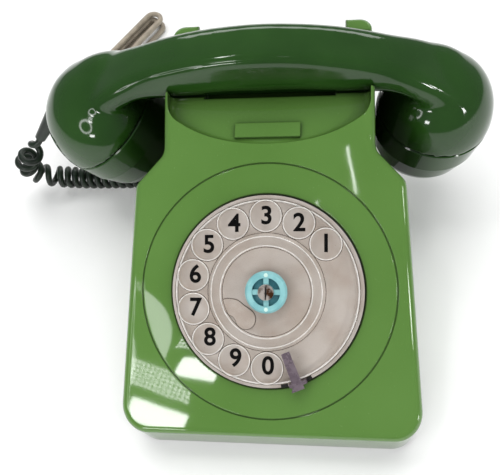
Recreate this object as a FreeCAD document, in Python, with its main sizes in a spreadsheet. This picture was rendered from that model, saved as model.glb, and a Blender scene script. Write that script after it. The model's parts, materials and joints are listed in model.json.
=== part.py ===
import FreeCAD, Part
import Sketcher
import math
import os

Vector = FreeCAD.Vector
Rotation = FreeCAD.Rotation
Placement = FreeCAD.Placement
UP = Vector(0, 0, 1)
ALONG_X = Vector(1, 0, 0)
ALONG_Y = Vector(0, 1, 0)

doc = FreeCAD.newDocument("RotaryDeskPhone")

# Driving dimensions in millimetres and degrees
SIZES = {
    # case
    "face_angle": 27,
    "front_height": 31,
    "foot_height": 4,
    "front_inset": 1,
    "case_depth": 193,
    "rear_lean": 4.5,
    "half_front": 72.4,
    "half_shoulder": 64.3,
    "half_neck": 50.2,
    "half_rear": 49.5,
    "shoulder_front": 107.9,
    "shoulder_back": 121.4,
    "case_wall": 2.6,
    "cavity_top": 84,
    "corner_round": 13,
    "shoulder_round": 6,
    "edge_round": 4,
    "horn_height": 104,
    "horn_width": 12.8,
    "horn_round": 2,
    "finger_well_half": 32,
    "finger_well_floor": 88,
    "scoop_start": 135.7,
    "scoop_fall": 20,
    "scoop_half": 48,
    "scoop_radius": 82,
    "scoop_corner": 10,
    "scoop_edge": 3,
    "label_width": 31,
    "label_depth": 7.5,
    "label_thick": 1.6,
    "label_from_edge": 5.25,
    "annulus_radius": 59.7,
    "annulus_rise": 0.8,
    "groove_width": 0.7,
    "groove_depth": 0.5,
    # base
    "plate_thick": 1.6,
    "foot_radius": 7,
    "foot_front_x": 44,
    "foot_front_y": 20,
    "foot_rear_x": 34,
    "foot_rear_y": 176,
    "boss_radius": 4.5,
    "boss_front_x": 56,
    "boss_front_y": 17,
    "boss_rear_x": 41,
    "boss_rear_y": 131,
    "screw_radius": 2,
    "screw_head_radius": 3.5,
    "screw_head_thick": 1.6,
    "screw_bite": 9,
    # dial
    "dial_up_face": 68,
    "plate_radius": 44.9,
    "plate_rim_width": 1.6,
    "plate_rim_top": 2.2,
    "plate_top": 0.2,
    "plate_bottom": -1,
    "opening_gap": 0.6,
    "wheel_gap": 0.6,
    "wheel_bottom": 1.4,
    "wheel_thick": 3.0,
    "hole_edge": 0.7,
    "hole_radius": 6.8,
    "hole_rim": 0.6,
    "hole_rim_rise": 0.8,
    "hole_pitch": 25.7143,
    "first_hole": 39,
    "ring_radius": 25.8,
    "ring_inner": 21.3,
    "ring_rise": 1.5,
    "hub_radius": 9.8,
    "hub_inner": 6.6,
    "hub_thick": 2.2,
    "hub_bar": 2.4,
    "hub_screw_radius": 3.7,
    "hub_screw_thick": 1.4,
    "hub_shank_radius": 1.9,
    "shaft_radius": 4,
    "dial_case_radius": 43.5,
    "dial_case_wall": 1.6,
    "dial_case_deep": 24.5,
    "flange_thick": 2,
    "gear_teeth": 48,
    "gear_radius": 25,
    "tooth_rise": 1.4,
    "gear_top": -8,
    "gear_thick": 2,
    "cam_radius": 17,
    "cam_notches": 10,
    "cam_top": -12,
    "cam_thick": 2,
    "barrel_radius": 15,
    "barrel_top": -16,
    "worm_radius": 3,
    "worm_gap": 0.6,
    "governor_shaft_radius": 1.5,
    "governor_half": 18.6,
    "governor_drum_radius": 3.9,
    "governor_drum_length": 9,
    "governor_post_thick": 2,
    "stop_thick": 0.9,
    "stop_over_rims": 0.5,
    "stop_tip_x": 8.9,
    "stop_tip_y": -27.6,
    "stop_foot_x": 14.6,
    "stop_foot_y": -41.6,
    "stop_tip_width": 4.4,
    "stop_foot_width": 8.4,
    "stop_foot_thick": 2.0,
    # inside the base
    "bracket_thick": 2,
    "bracket_half": 36,
    "bracket_leg": 6,
    "board_width": 88,
    "board_front": 14,
    "board_depth": 66,
    "board_thick": 1.6,
    "board_height": 11,
    "board_post_radius": 3,
    "coil_radius": 9,
    "coil_length": 26,
    "coil_spread": 13,
    "coil_front": 96,
    "coil_height": 18,
    "yoke_thick": 3,
    "gong_radius": 21,
    "gong_height": 13,
    "gong_wall": 1.4,
    "gong_x": 25,
    "gong_y": 166,
    "gong_bottom": 23,
    "gong_post_radius": 2.5,
    "gong_nut_radius": 4.5,
    "clapper_ball": 2,
    "clapper_arm": 0.9,
    "clapper_height": 29,
    "pivot_radius": 1.5,
    "switch_plate_gap": 9,
    "switch_plate_half": 36,
    "switch_plate_thick": 1.6,
    "switch_arm": 14.7,
    "switch_pivot_z": 70,
    "plunger_x": 40,
    "plunger_radius": 3.2,
    "plunger_bottom": 75,
    "plunger_collar": 5,
    # fits
    "seat_clearance": 0.3,
    "run_clearance": 0.05,
    "side_clearance": 1.7,
    # handset
    "handset_offset": -3.5,
    "handset_from_rear": 30.3,
    "handle_top": 120,
    "handle_bottom": 93,
    "handle_half": 15.5,
    "handle_top_in": 3,
    "handle_low_in": 3.5,
    "handle_belt": 0.35,
    "handle_round": 5,
    "handle_rear_round": 9,
    "handle_arch": 0.003,
    "handle_reach": 98,
    "handle_droop": 4,
    "handle_deepen": 60,
    "handle_flare": 16,
    "ear_inset": 12.4,
    "ear_z": 62.8,
    "ear_tilt": 10,
    "ear_radius": 29.5,
    "mouth_inset": 8.5,
    "mouth_z": 64.6,
    "mouth_tilt": 32,
    "mouth_radius": 32.5,
    "dome_height": 33.5,
    "cup_wall": 3,
    "cap_height": 30,
    "cap_taper": 4,
    "cap_round": 5,
    "cap_wall": 3,
    "seam_bevel": 0.6,
    "capsule_radius": 20,
    "capsule_thick": 12,
    "relief_root": 4.4,
    "relief_tip": 3.0,
    "relief_length": 22,
    "relief_out": 22,
    "relief_up": 20,
    # cords
    "curl_wire": 3.8,
    "curl_radius": 5.1,
    "open_curls": 5,
    "tight_curls": 13,
    "curl_lead": 16,
    "line_wire": 3.6,
    "hank_run": 84,
    "hank_turns": 1,
    "hank_layers": 2,
    "hank_inner": 2.4,
    "hank_gap": 0.5,
    "hank_angle": 57,
    "hank_x": -121.7,
    "hank_y": 256.2,
    "tie_width": 9,
    "tie_at": -14,
    "tie_thick": 1,
    "plug_start": -32,
    "plug_bend": 13,
    "plug_aside": 4.4,
    "plug_lift": 4.4,
    "plug_length": 20,
    "plug_width": 11.5,
    "plug_thick": 8,
    "gland_flange": 6,
    "gland_length": 13,
    "handset_gland_y": 159,
    "handset_gland_z": 10.5,
    "line_gland_x": 20,
    "line_gland_z": 11,
}

sheet = doc.addObject("Spreadsheet::Sheet", "Sizes")
for row, (alias, value) in enumerate(SIZES.items(), 1):
    sheet.set("A%d" % row, alias)
    sheet.set("B%d" % row, str(value))
    sheet.setAlias("B%d" % row, alias)
doc.recompute()


def size(alias):
    return float(sheet.get(alias))


def worked(expression):
    return float(sheet.evalExpression(expression.replace("Sizes.", "")))


def bind(item, **expressions):
    for prop, expression in expressions.items():
        item.setExpression(prop, expression)
    return item


# Where the desk set, the dial and the handset stand in the shared frame
face_angle = math.radians(size("face_angle"))
ear_reach = math.hypot(
    size("ear_radius") * math.cos(math.radians(size("ear_tilt"))),
    size("dome_height") * math.sin(math.radians(size("ear_tilt"))),
)
mouth_reach = math.hypot(
    size("mouth_radius") * math.cos(math.radians(size("mouth_tilt"))),
    size("dome_height") * math.sin(math.radians(size("mouth_tilt"))),
)
ear_x = size("handle_reach") - size("ear_inset")
mouth_x = size("mouth_inset") - size("handle_reach")
handset_x = -(ear_x + ear_reach + mouth_x - mouth_reach) / 2
rear_overhang = max(0, size("mouth_radius") - size("handset_from_rear"))
front_y = -(size("case_depth") + rear_overhang) / 2
desk = Placement(Vector(handset_x - size("handset_offset"), front_y, 0), Rotation())
handset_y = "(Sizes.case_depth - Sizes.handset_from_rear)"
hand = Placement(Vector(handset_x, front_y + worked(handset_y), 0), Rotation())
dial_centre = Vector(
    0,
    size("dial_up_face") * math.cos(face_angle),
    size("front_height") + size("dial_up_face") * math.sin(face_angle),
)
on_face = Placement(dial_centre, Rotation(ALONG_X, size("face_angle")))
dial = desk.multiply(on_face)

nodes = {}


def node(label, item, place):
    item.Label = label
    item.Placement = place.multiply(item.Placement)
    nodes[label] = item
    return item


def helper_name(label):
    return "".join(word.capitalize() for word in label.split("_"))


# Sketch, feature and primitive helpers
def sketch_on(body, role, name):
    sketch = body.newObject("Sketcher::SketchObject", name)
    plane = next(item for item in body.Origin.OriginFeatures if item.Role == role)
    sketch.AttachmentSupport = (plane, [""])
    sketch.MapMode = "FlatFace"
    return sketch


def pin_point(sketch, curve, which, x, y):
    for kind, expression in (("DistanceX", x), ("DistanceY", y)):
        index = sketch.addConstraint(
            Sketcher.Constraint(kind, -1, 1, curve, which, float(sketch.evalExpression(expression)))
        )
        sketch.setExpression("Constraints[%d]" % index, expression)


def outline(body, role, points, name):
    sketch = sketch_on(body, role, name)
    corners = [Vector(*(float(sketch.evalExpression(part)) for part in point), 0) for point in points]
    count = len(corners)
    for index in range(count):
        sketch.addGeometry(Part.LineSegment(corners[index], corners[(index + 1) % count]))
    for index in range(count):
        sketch.addConstraint(Sketcher.Constraint("Coincident", index, 2, (index + 1) % count, 1))
    for index, point in enumerate(points):
        pin_point(sketch, index, 1, *point)
    return sketch


def circles(body, role, rounds, name):
    sketch = sketch_on(body, role, name)
    for index, (x, y, radius) in enumerate(rounds):
        centre = Vector(float(sketch.evalExpression(x)), float(sketch.evalExpression(y)), 0)
        reach = float(sketch.evalExpression(radius))
        sketch.addGeometry(Part.Circle(centre, UP, reach))
        pin_point(sketch, index, 3, x, y)
        constraint = sketch.addConstraint(Sketcher.Constraint("Radius", index, reach))
        sketch.setExpression("Constraints[%d]" % constraint, radius)
    return sketch


def pad(body, sketch, length, symmetric=False):
    feature = body.newObject("PartDesign::Pad", sketch.Name + "Pad")
    feature.Profile = sketch
    feature.setExpression("Length", length)
    feature.SideType = "Symmetric" if symmetric else "One side"
    sketch.Visibility = False
    return feature


def pocket_through(body, sketch):
    feature = body.newObject("PartDesign::Pocket", sketch.Name + "Pocket")
    feature.Profile = sketch
    feature.Type = "ThroughAll"
    feature.SideType = "Symmetric"
    return feature


def new_body(label):
    return doc.addObject("PartDesign::Body", helper_name(label))


def lathe(label, points):
    body = new_body(label)
    sketch = outline(body, "XZ_Plane", points, helper_name(label) + "Profile")
    turn = body.newObject("PartDesign::Revolution", helper_name(label) + "Turn")
    turn.Profile = sketch
    turn.ReferenceAxis = (sketch, ["V_Axis"])
    turn.Angle = 360
    return body


def block(name, length, width, height, corner):
    box = doc.addObject("Part::Box", name)
    bind(box, Length=length, Width=width, Height=height)
    box.Placement = Placement(corner, Rotation())
    return box


def rod(name, radius, height, foot, direction=UP):
    cylinder = doc.addObject("Part::Cylinder", name)
    bind(cylinder, Radius=radius, Height=height)
    cylinder.Placement = Placement(foot, Rotation(UP, direction))
    return cylinder


def fuse(name, shapes):
    joined = doc.addObject("Part::MultiFuse", name)
    joined.Shapes = shapes
    joined.Refine = True
    return joined


def common(name, shapes):
    shared = doc.addObject("Part::MultiCommon", name)
    shared.Shapes = shapes
    return shared


def cut(name, base, tool):
    left = doc.addObject("Part::Cut", name)
    left.Base = base
    left.Tool = tool
    return left


def group(name, shapes):
    bundle = doc.addObject("Part::Compound", name)
    bundle.Links = shapes
    return bundle


def rounded(name, base, chosen, radius):
    doc.recompute()
    edges = [index for index, edge in enumerate(base.Shape.Edges, 1) if chosen(edge)]
    fillet = doc.addObject("Part::Fillet", name)
    fillet.Base = base
    fillet.Edges = [(index, radius, radius) for index in edges]
    doc.recompute()
    return fillet


def upright(edge):
    direction = edge.tangentAt(edge.FirstParameter)
    return abs(direction.z) > 0.9


# Case: a side profile and a plan outline in common, rounded, hollowed and opened
rise = "tan(Sizes.face_angle)"
trough_front = "(%s - Sizes.handle_half - Sizes.side_clearance)" % handset_y
trough_back = "(%s + Sizes.handle_half + Sizes.side_clearance)" % handset_y
trough_floor = "(Sizes.handle_bottom - Sizes.seat_clearance)"
TROUGH_DRAFT = "4"
rear_top = "(Sizes.case_depth - Sizes.rear_lean)"


def case_sides():
    side = new_body("case_side")
    points = [
        ("Sizes.front_inset", "Sizes.foot_height"),
        ("0", "Sizes.front_height"),
        (trough_front, "Sizes.front_height + %s * %s" % (trough_front, rise)),
        (trough_front + "+" + TROUGH_DRAFT, trough_floor),
        (trough_back + "-" + TROUGH_DRAFT, trough_floor),
        (trough_back, "Sizes.horn_height"),
        (rear_top, "Sizes.horn_height"),
        ("Sizes.case_depth", "Sizes.foot_height"),
    ]
    sketch = outline(side, "YZ_Plane", points, "CaseSideOutline")
    pad(side, sketch, "Sizes.half_front * 3", symmetric=True)
    return side


def plan_body(label, inset, front):
    plan = new_body(label)
    half = ["(Sizes.half_front - %s)" % inset, "(Sizes.half_shoulder - %s)" % inset]
    half += ["(Sizes.half_neck - %s)" % inset, "(Sizes.half_rear - %s)" % inset]
    along = [front, "(Sizes.shoulder_front - %s * 0.41)" % inset]
    along += ["(Sizes.shoulder_back - %s * 0.41)" % inset, "Sizes.case_depth"]
    right = list(zip(half, along))
    left = [("-" + x, y) for x, y in reversed(right)]
    sketch = outline(plan, "XY_Plane", right + left, helper_name(label) + "Outline")
    pad(plan, sketch, "Sizes.horn_height * 1.5")
    return plan


def case_outer():
    block_shape = common("CaseBlock", [case_sides(), plan_body("case_plan", "0", "-Sizes.front_inset")])
    doc.recompute()

    def front_corner(edge):
        return upright(edge) and edge.CenterOfMass.y < size("shoulder_front") / 2

    def neck_corner(edge):
        tall = edge.Length > size("horn_height") / 3
        return upright(edge) and tall and edge.CenterOfMass.y > size("shoulder_front") / 2

    corners = rounded("CaseCorners", block_shape, front_corner, size("corner_round"))
    shoulders = rounded("CaseShoulders", corners, neck_corner, size("shoulder_round"))

    def face_border(edge):
        middle = edge.CenterOfMass
        on_top = middle.z > size("front_height") - 1
        ahead = middle.y < worked(trough_front) - 2
        flat = abs(edge.tangentAt(edge.FirstParameter).z) < 0.9
        return on_top and ahead and flat and edge.Length > 1

    return rounded("CaseRounded", shoulders, face_border, size("edge_round"))


def case_cavity():
    side = new_body("cavity_side")
    drop = "Sizes.case_wall / cos(Sizes.face_angle)"
    points = [
        ("Sizes.front_inset + Sizes.case_wall", "Sizes.foot_height - 1"),
        ("Sizes.case_wall", "Sizes.front_height + %s * Sizes.case_wall - %s" % (rise, drop)),
        ("(Sizes.cavity_top + %s - Sizes.front_height) / %s" % (drop, rise), "Sizes.cavity_top"),
        ("%s - Sizes.case_wall" % rear_top, "Sizes.cavity_top"),
        ("Sizes.case_depth - Sizes.case_wall", "Sizes.foot_height - 1"),
    ]
    sketch = outline(side, "YZ_Plane", points, "CavitySideOutline")
    pad(side, sketch, "Sizes.half_front * 3", symmetric=True)
    plan = plan_body("cavity_plan", "Sizes.case_wall", "0")
    hollow = common("CavityBlock", [side, plan])

    def front_corner(edge):
        return upright(edge) and edge.CenterOfMass.y < size("shoulder_front") / 2

    def neck_corner(edge):
        return upright(edge) and edge.CenterOfMass.y > size("shoulder_front") / 2

    corners = rounded("CavityCorners", hollow, front_corner, size("corner_round") - size("case_wall"))
    return rounded("CavityRounded", corners, neck_corner, size("shoulder_round") - size("case_wall"))


def scoop_tool():
    slope = size("face_angle") - size("scoop_fall")
    front = Vector(-size("scoop_half"), -size("scoop_edge"), 0)
    box = block("ScoopBox", "Sizes.scoop_half * 2", "Sizes.scoop_half", "Sizes.scoop_half", front)
    middle = Vector(0, size("scoop_radius"), 0)
    bow = rod("ScoopBow", "Sizes.scoop_radius", "Sizes.scoop_half", middle)
    bowl = common("ScoopBowl", [box, bow])

    def low_corner(edge):
        return upright(edge) and edge.CenterOfMass.y < size("scoop_half") / 2

    corners = rounded("ScoopCorners", bowl, low_corner, size("scoop_corner"))

    def floor_edge(edge):
        ahead = edge.CenterOfMass.y < size("scoop_half") - size("scoop_edge") - 1
        return edge.CenterOfMass.z < 0.5 and ahead

    scoop = rounded("ScoopRounded", corners, floor_edge, size("scoop_edge"))
    scoop.Placement = Placement(scoop_start(), Rotation(ALONG_X, slope))
    return scoop


def scoop_start():
    up = size("scoop_start")
    return Vector(0, up * math.cos(face_angle), size("front_height") + up * math.sin(face_angle))


def boss_places():
    for side in (-1, 1):
        yield side * size("boss_front_x"), size("boss_front_y")
        yield side * size("boss_rear_x"), size("boss_rear_y")


plate_top_z = size("foot_height") + size("plate_thick")


def make_case_shell():
    outer = case_outer()
    hollow = cut("CaseHollow", outer, case_cavity())
    posts = []
    for index, (x, y) in enumerate(boss_places()):
        post = rod("BossPost%d" % index, "Sizes.boss_radius", "Sizes.horn_height", Vector(x, y, plate_top_z))
        posts.append(post)
    bosses = common("CaseBosses", [outer, fuse("BossPosts", posts)])
    lip = lathe(
        "dial_lip",
        [
            ("Sizes.plate_radius + Sizes.opening_gap", "-Sizes.case_wall / 2"),
            ("Sizes.annulus_radius", "-Sizes.case_wall / 2"),
            ("Sizes.annulus_radius", "0"),
            ("Sizes.plate_radius + Sizes.opening_gap * 2", "Sizes.annulus_rise"),
            ("Sizes.plate_radius + Sizes.opening_gap", "Sizes.annulus_rise - Sizes.opening_gap"),
        ],
    )
    lip.Placement = on_face
    body = fuse("CaseWithBosses", [hollow, bosses, lip])
    tools = [scoop_tool()]
    opening = rod("DialOpening", "Sizes.plate_radius + Sizes.opening_gap", "Sizes.case_wall * 4", Vector(0, 0, 0))
    opening.Placement = on_face.multiply(Placement(Vector(0, 0, -2 * size("case_wall")), Rotation()))
    groove = lathe(
        "dial_groove",
        [
            ("Sizes.annulus_radius", "-Sizes.groove_depth"),
            ("Sizes.annulus_radius + Sizes.groove_width", "-Sizes.groove_depth"),
            ("Sizes.annulus_radius + Sizes.groove_width", "Sizes.groove_depth"),
            ("Sizes.annulus_radius", "Sizes.groove_depth"),
        ],
    )
    groove.Placement = on_face
    gap_half = size("half_rear") - size("horn_width")
    rear_gap = block(
        "RearGap",
        "2 * (Sizes.half_rear - Sizes.horn_width)",
        "Sizes.case_depth",
        "Sizes.horn_height",
        Vector(-gap_half, worked(trough_back) - 8, size("finger_well_floor")),
    )
    well = block(
        "FingerWell",
        "2 * Sizes.finger_well_half",
        "%s - %s - %s" % (trough_back, trough_front, TROUGH_DRAFT),
        "Sizes.horn_height",
        Vector(-size("finger_well_half"), worked(trough_front) + 2, size("finger_well_floor")),
    )
    tools += [opening, groove, rear_gap, well]
    for index, (x, y) in enumerate(boss_places()):
        bore = "Sizes.screw_radius + Sizes.run_clearance"
        tools.append(rod("BossBore%d" % index, bore, "Sizes.screw_bite + 1", Vector(x, y, plate_top_z - 1)))
    for side in (-1, 1):
        hole = "Sizes.plunger_radius + Sizes.run_clearance"
        foot = Vector(side * size("plunger_x"), worked(handset_y), size("cavity_top") - 1)
        tools.append(rod("PlungerHole%s" % ("L" if side < 0 else "R"), hole, "Sizes.horn_height", foot))
    sleeve = "%s + Sizes.run_clearance" % GLAND_SLEEVE
    reach = "Sizes.case_wall * 8"
    deep = size("case_wall") * 4
    tools.append(rod("HandsetGlandHole", sleeve, reach, handset_gland - ALONG_X * -deep, ALONG_X * -1))
    tools.append(rod("LineGlandHole", sleeve, reach, line_gland - ALONG_Y * deep, ALONG_Y))
    shell = cut("CaseShell", body, fuse("CaseCuts", tools))

    def rear_horn_border(edge):
        middle = edge.CenterOfMass
        return middle.z > size("horn_height") - 0.1 and middle.y > worked(trough_back) - 1

    crowned = rounded("CaseCrowned", shell, rear_horn_border, size("horn_round"))
    return node("case_shell", crowned, desk)


def neck_half(y):
    share = (y - size("shoulder_back")) / (size("case_depth") - size("shoulder_back"))
    return size("half_neck") + (size("half_rear") - size("half_neck")) * share


def rear_wall(z):
    share = (z - size("foot_height")) / (size("horn_height") - size("foot_height"))
    return size("case_depth") - size("rear_lean") * share


GLAND_SLEEVE = "(Sizes.curl_wire / 2 + 2)"
handset_gland = Vector(-neck_half(size("handset_gland_y")), size("handset_gland_y"), size("handset_gland_z"))
line_gland = Vector(size("line_gland_x"), rear_wall(size("line_gland_z")), size("line_gland_z"))


def make_label():
    slope = size("face_angle") - size("scoop_fall")
    plate = block("LabelPlate", "Sizes.label_width", "Sizes.label_depth", "Sizes.label_thick", Vector(0, 0, 0))
    edge = size("scoop_edge") + size("label_from_edge")
    seat = Placement(scoop_start(), Rotation(ALONG_X, slope))
    corner = Placement(Vector(-size("label_width") / 2, edge - size("label_depth") / 2, 0), Rotation())
    return node("label_plate", plate, desk.multiply(seat).multiply(corner))


# Base plate, feet and the screws that hold the case down
def make_base():
    body = new_body("base_plate")
    gap = "(Sizes.case_wall + Sizes.seat_clearance)"
    right = [
        ("(Sizes.half_front - Sizes.corner_round)", "Sizes.front_inset + " + gap),
        ("(Sizes.half_front - %s - 1)" % gap, "Sizes.corner_round + Sizes.front_inset"),
        ("(Sizes.half_shoulder - %s)" % gap, "Sizes.shoulder_front - Sizes.shoulder_round"),
        ("(Sizes.half_neck - %s - 1)" % gap, "Sizes.shoulder_back - %s / 2" % gap),
        ("(Sizes.half_rear - %s)" % gap, "Sizes.case_depth - Sizes.shoulder_round"),
        ("(Sizes.half_rear - Sizes.shoulder_round)", "Sizes.case_depth - " + gap),
    ]
    left = [("-" + x, y) for x, y in reversed(right)]
    pad(body, outline(body, "XY_Plane", right + left, "BasePlateOutline"), "Sizes.plate_thick")
    holes = []
    for side in ("-", ""):
        for end in ("front", "rear"):
            place = ("%sSizes.boss_%s_x" % (side, end), "Sizes.boss_%s_y" % end)
            holes.append(place + ("Sizes.screw_radius + Sizes.seat_clearance",))
    pocket_through(body, circles(body, "XY_Plane", holes, "BasePlateHoles"))
    lift = Placement(Vector(0, 0, size("foot_height")), Rotation())
    return node("base_plate", body, desk.multiply(lift))


def make_feet():
    for side, hand_name in ((-1, "left"), (1, "right")):
        for end in ("front", "rear"):
            label = "foot_%s_%s" % (end, hand_name)
            foot = lathe(
                label,
                [
                    ("0", "0"),
                    ("Sizes.foot_radius - 1", "0"),
                    ("Sizes.foot_radius", "1"),
                    ("Sizes.foot_radius", "Sizes.foot_height"),
                    ("0", "Sizes.foot_height"),
                ],
            )
            spot = Vector(side * size("foot_%s_x" % end), size("foot_%s_y" % end), 0)
            node(label, foot, desk.multiply(Placement(spot, Rotation())))


def make_case_screws():
    screws = []
    for index, (x, y) in enumerate(boss_places()):
        under = size("foot_height") - size("screw_head_thick")
        head = rod("ScrewHead%d" % index, "Sizes.screw_head_radius", "Sizes.screw_head_thick", Vector(x, y, under))
        length = "Sizes.plate_thick + Sizes.screw_bite"
        shank = rod("ScrewShank%d" % index, "Sizes.screw_radius", length, Vector(x, y, size("foot_height")))
        screws.append(fuse("CaseScrew%d" % index, [head, shank]))
    node("case_screws", group("CaseScrews", screws), desk)


# Dial, in its own frame: z points out of the face
def dial_cut(name, base, radius, bottom, height, at=(0, 0)):
    return cut(name, base, rod(name + "Bore", radius, height, Vector(at[0], at[1], bottom)))


def finger_stop_slot(name):
    width = size("stop_foot_width") + 2 * size("seat_clearance")
    slot = block(name, "Sizes.stop_foot_width + 2 * Sizes.seat_clearance", "Sizes.stop_foot_y * -1",
                 "Sizes.dial_case_deep", Vector(-width / 2, -size("plate_radius") * 1.1, size("plate_bottom")))
    bounds = rod(name + "Ring", "Sizes.plate_radius * 1.1", "Sizes.dial_case_deep", Vector(0, 0, size("plate_bottom")))
    core = rod(name + "Core", stop_inner, "Sizes.dial_case_deep", Vector(0, 0, size("plate_bottom")))
    slot.Placement = Placement(Vector(0, 0, 0), Rotation(UP, stop_turn())).multiply(slot.Placement)
    return cut(name + "Cut", common(name + "Arc", [slot, bounds]), core)


stop_inner = "(Sizes.plate_radius - Sizes.plate_rim_width - Sizes.seat_clearance / 2)"


def stop_turn():
    return math.degrees(math.atan2(size("stop_foot_y"), size("stop_foot_x"))) + 90


def make_number_plate():
    plate = lathe(
        "number_disc",
        [
            ("Sizes.shaft_radius + Sizes.seat_clearance", "Sizes.plate_bottom"),
            ("Sizes.plate_radius", "Sizes.plate_bottom"),
            ("Sizes.plate_radius", "Sizes.plate_rim_top"),
            ("Sizes.plate_radius - Sizes.plate_rim_width", "Sizes.plate_rim_top"),
            ("Sizes.plate_radius - Sizes.plate_rim_width", "Sizes.plate_top"),
            ("Sizes.shaft_radius + Sizes.seat_clearance", "Sizes.plate_top"),
        ],
    )
    node("number_plate", cut("NumberPlate", plate, finger_stop_slot("PlateSlot")), dial)


def make_dial_case():
    cup = lathe(
        "dial_cup",
        [
            ("Sizes.shaft_radius + Sizes.run_clearance", "-Sizes.dial_case_deep"),
            ("Sizes.dial_case_radius", "-Sizes.dial_case_deep"),
            ("Sizes.dial_case_radius", "Sizes.plate_bottom - Sizes.flange_thick"),
            ("Sizes.plate_radius + Sizes.seat_clearance", "Sizes.plate_bottom - Sizes.flange_thick"),
            ("Sizes.plate_radius + Sizes.seat_clearance", "Sizes.plate_bottom"),
            ("Sizes.dial_case_radius - Sizes.dial_case_wall", "Sizes.plate_bottom"),
            ("Sizes.dial_case_radius - Sizes.dial_case_wall", "-Sizes.dial_case_deep + Sizes.dial_case_wall"),
            ("Sizes.shaft_radius + Sizes.run_clearance", "-Sizes.dial_case_deep + Sizes.dial_case_wall"),
        ],
    )
    node("dial_case", cup, dial)


def make_finger_stop():
    under = size("wheel_bottom") + size("wheel_thick") + size("hole_rim_rise") + size("stop_over_rims")
    tip = Vector(size("stop_tip_x"), size("stop_tip_y"), under)
    foot = Vector(size("stop_foot_x"), size("stop_foot_y"), under)
    out = (foot - tip).normalize()
    across = UP.cross(out)
    edge = foot + out * 3
    near = size("stop_tip_width") / 2
    far = size("stop_foot_width") / 2
    corners = [tip - across * near, foot - across * near * 1.2, edge - across * far]
    corners += [edge + across * far * 0.5, foot + across * near * 0.9, tip + across * near * 0.8]
    blade = doc.addObject("Part::Feature", "StopBlade")
    blade.Shape = Part.Face(Part.makePolygon(corners + corners[:1])).extrude(UP * size("stop_thick"))
    leg_height = under + size("stop_thick") - size("plate_bottom")
    leg_box = block("StopLegBox", "Sizes.stop_foot_width", "Sizes.stop_foot_thick * 3", "Sizes.dial_case_deep",
                    Vector(-size("stop_foot_width") / 2, -size("plate_radius") - 2, size("plate_bottom")))
    leg_box.Placement = Placement(Vector(0, 0, 0), Rotation(UP, stop_turn())).multiply(leg_box.Placement)
    band = rod("StopLegBand", "Sizes.plate_radius + Sizes.seat_clearance", "%f" % leg_height,
               Vector(0, 0, size("plate_bottom")))
    core = rod("StopLegCore", stop_inner + "+ Sizes.seat_clearance", "Sizes.dial_case_deep",
               Vector(0, 0, size("plate_bottom")))
    leg = cut("StopLeg", common("StopLegArc", [leg_box, band]), core)
    node("finger_stop", fuse("FingerStop", [blade, leg]), dial)


wheel_top = "(Sizes.wheel_bottom + Sizes.wheel_thick)"
wheel_radius = "(Sizes.plate_radius - Sizes.plate_rim_width - Sizes.wheel_gap)"


def make_finger_wheel():
    body = lathe(
        "finger_wheel",
        [
            ("Sizes.hub_shank_radius + Sizes.run_clearance", "Sizes.wheel_bottom"),
            (wheel_radius, "Sizes.wheel_bottom"),
            (wheel_radius, wheel_top + "- 0.6"),
            (wheel_radius + "- 0.8", wheel_top),
            ("Sizes.ring_radius + Sizes.ring_rise", wheel_top),
            ("Sizes.ring_radius", wheel_top + "+ Sizes.ring_rise"),
            ("Sizes.ring_inner + Sizes.ring_rise", wheel_top + "+ Sizes.ring_rise"),
            ("Sizes.ring_inner", wheel_top),
            ("Sizes.hub_shank_radius + Sizes.run_clearance", wheel_top),
        ],
    )
    hole_circle = "(%s - Sizes.hole_edge - Sizes.hole_radius)" % wheel_radius
    x = hole_circle + "* cos(Sizes.first_hole)"
    y = hole_circle + "* sin(Sizes.first_hole)"
    collar = circles(body, "XY_Plane", [(x, y, "Sizes.hole_radius + Sizes.hole_rim")], "WheelRim")
    collar.AttachmentOffset = Placement(Vector(0, 0, size("wheel_bottom") + size("wheel_thick") / 2), Rotation())
    rim = pad(body, collar, "Sizes.wheel_thick / 2 + Sizes.hole_rim_rise")
    hole = pocket_through(body, circles(body, "XY_Plane", [(x, y, "Sizes.hole_radius")], "WheelHole"))
    doc.recompute()
    ring = body.newObject("PartDesign::PolarPattern", "WheelHoles")
    ring.Originals = [rim, hole]
    ring.Axis = (collar, ["N_Axis"])
    ring.setExpression("Angle", "Sizes.hole_pitch * 9")
    ring.Occurrences = 10
    body.Tip = ring
    node("finger_wheel", body, dial)


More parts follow.
